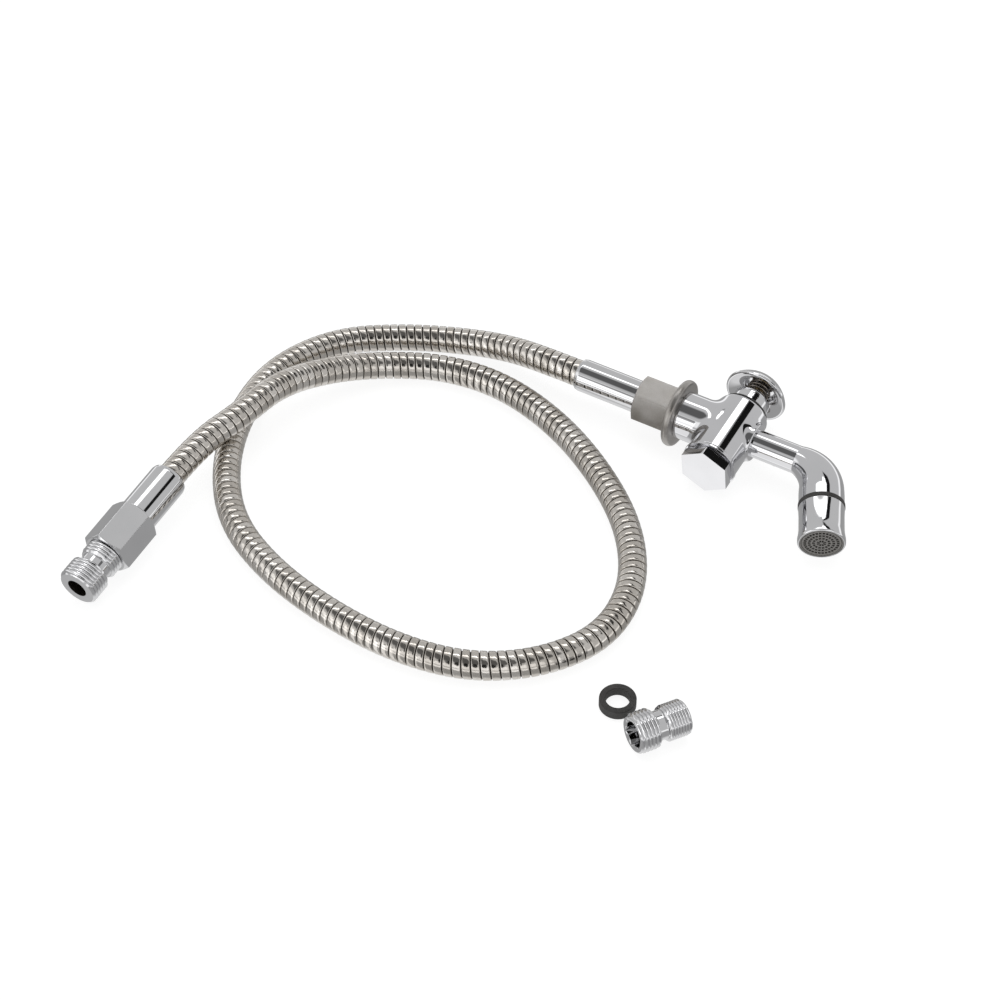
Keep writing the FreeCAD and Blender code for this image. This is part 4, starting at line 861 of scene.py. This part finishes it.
def loose_pieces():
    large_root = root_radius(HOSE_THREAD_RADIUS, UN_PITCH)
    small_root = root_radius(SMALL_RADIUS, NPT_PITCH)
    outline = hexagon(SOCKET_FLATS, 0.15)
    angles = np.arctan2(outline[:, 1], outline[:, 0])

    def ring(radius, height):
        return np.column_stack([radius * np.cos(angles), radius * np.sin(angles),
                                np.full(len(angles), float(height))])

    def flat(height):
        return np.column_stack([outline, np.full(len(outline), float(height))])

    screw = joined(
        grid([ring(ADAPTER_BORE, SOCKET_FLOOR), flat(SOCKET_FLOOR), flat(0.5), ring(7.0, 0.0),
              ring(large_root, 0.0)], closed=True),
        threaded(HOSE_THREAD_RADIUS, UN_PITCH, 0.0, LARGE_END, True, True),
        turned([(large_root, LARGE_END), (ADAPTER_NECK + 0.2, LARGE_END),
                (ADAPTER_NECK, LARGE_END + 0.6), (ADAPTER_NECK, SMALL_START - 0.4),
                (small_root, SMALL_START)], 0.3),
        threaded(SMALL_RADIUS, NPT_PITCH, SMALL_START, ADAPTER_END, True, True),
        turned([(small_root, ADAPTER_END), (ADAPTER_BORE, ADAPTER_END)], 0.25))
    piece("adapter_screw", screw, ADAPTER, SMALL_CHROME, body="loose_adapter",
          stands_for=["spare_adapter"], sharp=50)
    # Painted shade inside the adapter's bore.
    way = turned([(ADAPTER_BORE, SOCKET_FLOOR), (ADAPTER_BORE, ADAPTER_END)], 0.1)
    piece("adapter_bore", way, ADAPTER, BORE_SHADE_PAINT, body="loose_adapter", sharp=40)
    washer = turned([(WASHER_INNER, 0.0), (WASHER_OUTER, 0.0), (WASHER_OUTER, WASHER_TOP),
                     (WASHER_INNER, WASHER_TOP)], 0.45, closed=True)
    piece("washer_ring", washer, WASHER, RUBBER, body="loose_washer",
          stands_for=["spare_washer"])


# ---------------------------------------------------------------- hose

def hose_line():
    """Points of a smooth spline that the route pulls along, head to inlet, in metres."""
    first = INLET @ (Vector((0, 0, SLEEVE_GRIP)) * MM)
    last = HEAD @ (Vector((OUTLET_SLEEVE_START + SLEEVE_GRIP, 0, 0)) * MM)
    stations = [first] + [SHIFT + Vector(point) for point in HOSE_ROUTE] + [last]
    curve = bpy.data.curves.new("hose_spline", "CURVE")
    curve.dimensions = "3D"
    curve.resolution_u = 32
    spline = curve.splines.new("NURBS")
    spline.points.add(len(stations) - 1)
    for point, station in zip(spline.points, reversed(stations)):
        point.co = (*station, 1)
    spline.use_endpoint_u = True
    spline.order_u = 3
    holder = bpy.data.objects.new("hose_spline", curve)
    bpy.context.scene.collection.objects.link(holder)
    bpy.context.view_layer.update()
    graph = bpy.context.evaluated_depsgraph_get()
    mesh = bpy.data.meshes.new_from_object(holder.evaluated_get(graph))
    points = np.array([vertex.co for vertex in mesh.vertices])
    bpy.data.objects.remove(holder)
    bpy.data.meshes.remove(mesh)
    return points


def wound_hose():
    """The hose as one band wound in a helix along the line."""
    line = hose_line() / MM
    lengths, sides, ups = transport(line)
    total = lengths[-1]
    angles = np.arange(HOSE_SIDES + 1) / HOSE_SIDES * 2 * math.pi
    rows, turns, groove_shades = [], [], []
    for lap in range(-1, int(total / HOSE_PITCH) + 1):
        for phase, radius in HOSE_BAND:
            along = (lap + phase + angles / (2 * math.pi)) * HOSE_PITCH
            here = np.clip(along, 0, total)
            spot, side, up = (
                np.stack([np.interp(here, lengths, values[:, k]) for k in range(3)], axis=-1)
                for values in (line, sides, ups))
            around = side * np.cos(angles)[:, None] + up * np.sin(angles)[:, None]
            rows.append(spot + radius * around)
            turns.append(np.full(HOSE_SIDES + 1, lap + 0.5))
            # Rows deep in a groove are marked for painted shade.
            groove_shades.append(np.full(HOSE_SIDES + 1, 1.0 if radius < GROOVE_SHADE_RADIUS else 0.0))
    vertices, faces = grid(rows)
    mesh = bpy.data.meshes.new("wound_hose")
    mesh.from_pydata(vertices.tolist(), [], faces.tolist())
    for name, values in (("turn", turns), ("groove_shade", groove_shades)):
        layer = mesh.attributes.new(name, "FLOAT", "POINT")
        layer.data.foreach_set("value", np.concatenate(values))
    clean(mesh, 60)
    mesh.transform(Matrix.Scale(MM, 4))
    mesh.materials.append(HOSE)
    thing = bpy.data.objects.new("wound_hose", mesh)
    bpy.context.scene.collection.objects.link(thing)
    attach(thing, "faucet")
    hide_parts("hose")


# ---------------------------------------------------------------- CAD nodes that stay in view

def dress_cad_nodes():
    for names, material in (
            (("valve_seat", "disc_holder", "poppet_nut", "valve_stem", "outlet_tail",
              "inlet_tail"), BRASS),
            (("cap_gasket", "seat_disc", "stem_seals", "collar_gasket", "inlet_gasket"), RUBBER),
            (("flow_restrictor",), PLASTIC), (("aerator_screen",), SCREEN)):
        for name in names:
            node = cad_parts[name]
            node.data.materials.clear()
            node.data.materials.append(material)


# ---------------------------------------------------------------- studio

def floor():
    """A pale floor that chrome doesn't reflect; the painted room has its own ground."""
    bpy.ops.mesh.primitive_plane_add(size=8, location=(0, 0, -0.0002))
    surface = bpy.context.object
    surface.name = "floor"
    material, nodes, shader = new_material("floor")
    tint = nodes.noise(3, 2)
    nodes.put(shader["Base Color"], nodes.mix(tint, (0.24, 0.24, 0.24, 1), (0.26, 0.26, 0.26, 1)))
    shader["Roughness"].default_value = 0.9
    shader["Specular IOR Level"].default_value = 0.0
    shader["Emission Color"].default_value = (1, 1, 1, 1)
    shader["Emission Strength"].default_value = FLOOR_GLOW
    surface.data.materials.append(material)
    surface.visible_glossy = False


def painted_room():
    """The world: lights and dark shapes for the chrome to reflect."""
    world = bpy.data.worlds.new("studio")
    bpy.context.scene.world = world
    world.use_nodes = True
    nodes = Nodes(world.node_tree)
    place = nodes.add("ShaderNodeTexCoord").outputs["Generated"]
    split = nodes.add("ShaderNodeSeparateXYZ")
    nodes.put(split.inputs[0], place)
    x, y, z = split.outputs

    def times(*factors):
        product = factors[0]
        for factor in factors[1:]:
            product = nodes.math("MULTIPLY", product, factor)
        return product

    def between(value, limits, soft):
        low, high = limits
        return times(nodes.remap(value, low - soft, low + soft),
                     nodes.remap(value, high - soft, high + soft, 1, 0))

    def disc(direction, spread):
        toward = nodes.add("ShaderNodeVectorMath", operation="DOT_PRODUCT")
        nodes.put(toward.inputs[0], place)
        toward.inputs[1].default_value = Vector(direction).normalized()
        edge = math.cos(math.radians(spread))
        return nodes.remap(toward.outputs["Value"], edge - DISC_SOFT, edge + DISC_SOFT)

    height = nodes.math("MAXIMUM", z, LOWEST)
    u = nodes.math("DIVIDE", x, height)
    v = nodes.math("SUBTRACT", nodes.math("DIVIDE", y, height), STRIP_AWAY)
    cosine, sine = math.cos(STRIP_TURN), math.sin(STRIP_TURN)
    along = nodes.math("ADD", times(u, cosine), times(v, sine))
    across = nodes.math("SUBTRACT", times(v, cosine), times(u, sine))
    overhead = nodes.math("GREATER_THAN", z, OVERHEAD)
    strip = times(nodes.math("MAXIMUM", *(
        times(between(along, long_way, SOFT), between(across, short_way, SOFT))
        for long_way, short_way in STRIP_PANELS)), overhead)
    gap = times(between(along, GAP_ALONG, GAP_SOFT), between(across, GAP_ACROSS, GAP_SOFT),
                overhead)
    slant = nodes.math("ADD", along, times(across, FLAG_SLANT))
    flag = times(between(across, FLAG_ACROSS, SOFT), between(slant, FLAG_ALONG, BROAD_SOFT),
                 overhead)
    ceiling = times(nodes.remap(z, *CEILING_RISE), nodes.remap(y, *CEILING_FADE))

    horizon = between(z, HORIZON_LIMITS, SOFT)
    nadir = nodes.remap(z, *NADIR_FADE)
    sideways = nodes.math("DIVIDE", x, nodes.math("MINIMUM", y, FRONT_EDGE))
    front = times(between(sideways, FRONT_SIDEWAYS, SOFT), between(z, FRONT_HEIGHT, SOFT),
                  nodes.math("LESS_THAN", y, FRONT_EDGE))
    glow = times(between(z, GLOW_HEIGHT, BROAD_SOFT), nodes.remap(y, *GLOW_FADE))

    tone = nodes.remap(z, *GROUND_FADE, GROUND_LIGHT, WALL_LIGHT)
    for share, strength in ((nadir, NADIR_LIGHT), (strip, STRIP_LIGHT), (horizon, HORIZON_LIGHT),
                            (front, FRONT_LIGHT), (glow, GLOW_LIGHT)):
        tone = nodes.math("ADD", tone, times(share, strength))
    discs = [(disc(direction, spread), shade) for direction, spread, shade in DARK_DISCS]
    for share, shade in [(flag, FLAG_SHADE), (gap, GAP_SHADE), (ceiling, CEILING_SHADE)] + discs:
        tone = times(tone, nodes.math("SUBTRACT", 1.0, times(share, shade)))
    background = world.node_tree.nodes["Background"].inputs
    nodes.put(background["Strength"], tone)
    background["Color"].default_value = (1, 1, 1, 1)


def overhead_lamp():
    """A wide lamp for soft shadows, hidden from reflections as the painted strip stands for it."""
    light = bpy.data.lights.new("overhead", "AREA")
    light.energy = LAMP_WATTS
    light.size = LAMP_SIZE
    lamp = bpy.data.objects.new("overhead", light)
    lamp.location = LAMP_PLACE
    lamp.visible_glossy = False
    bpy.context.scene.collection.objects.link(lamp)


def photographer():
    view = bpy.data.cameras.new("camera")
    view.lens = CAMERA_LENS
    view.sensor_width = 36.0
    view.clip_start = 0.05
    camera = bpy.data.objects.new("camera", view)
    camera.location = SHIFT + CAMERA_PLACE
    camera.rotation_euler = [math.radians(angle) for angle in CAMERA_TURN]
    bpy.context.scene.collection.objects.link(camera)
    bpy.context.scene.camera = camera
    bpy.context.scene.view_settings.view_transform = "Standard"


valve_casting()
head_caps()
push_button()
spring_coil()
spout_and_elbow()
aerator()
collar()
inlet_sleeve = sleeves()
fittings = inlet_fittings()
loose_pieces()
wound_hose()
dress_cad_nodes()
floor()
painted_room()
overhead_lamp()
photographer()
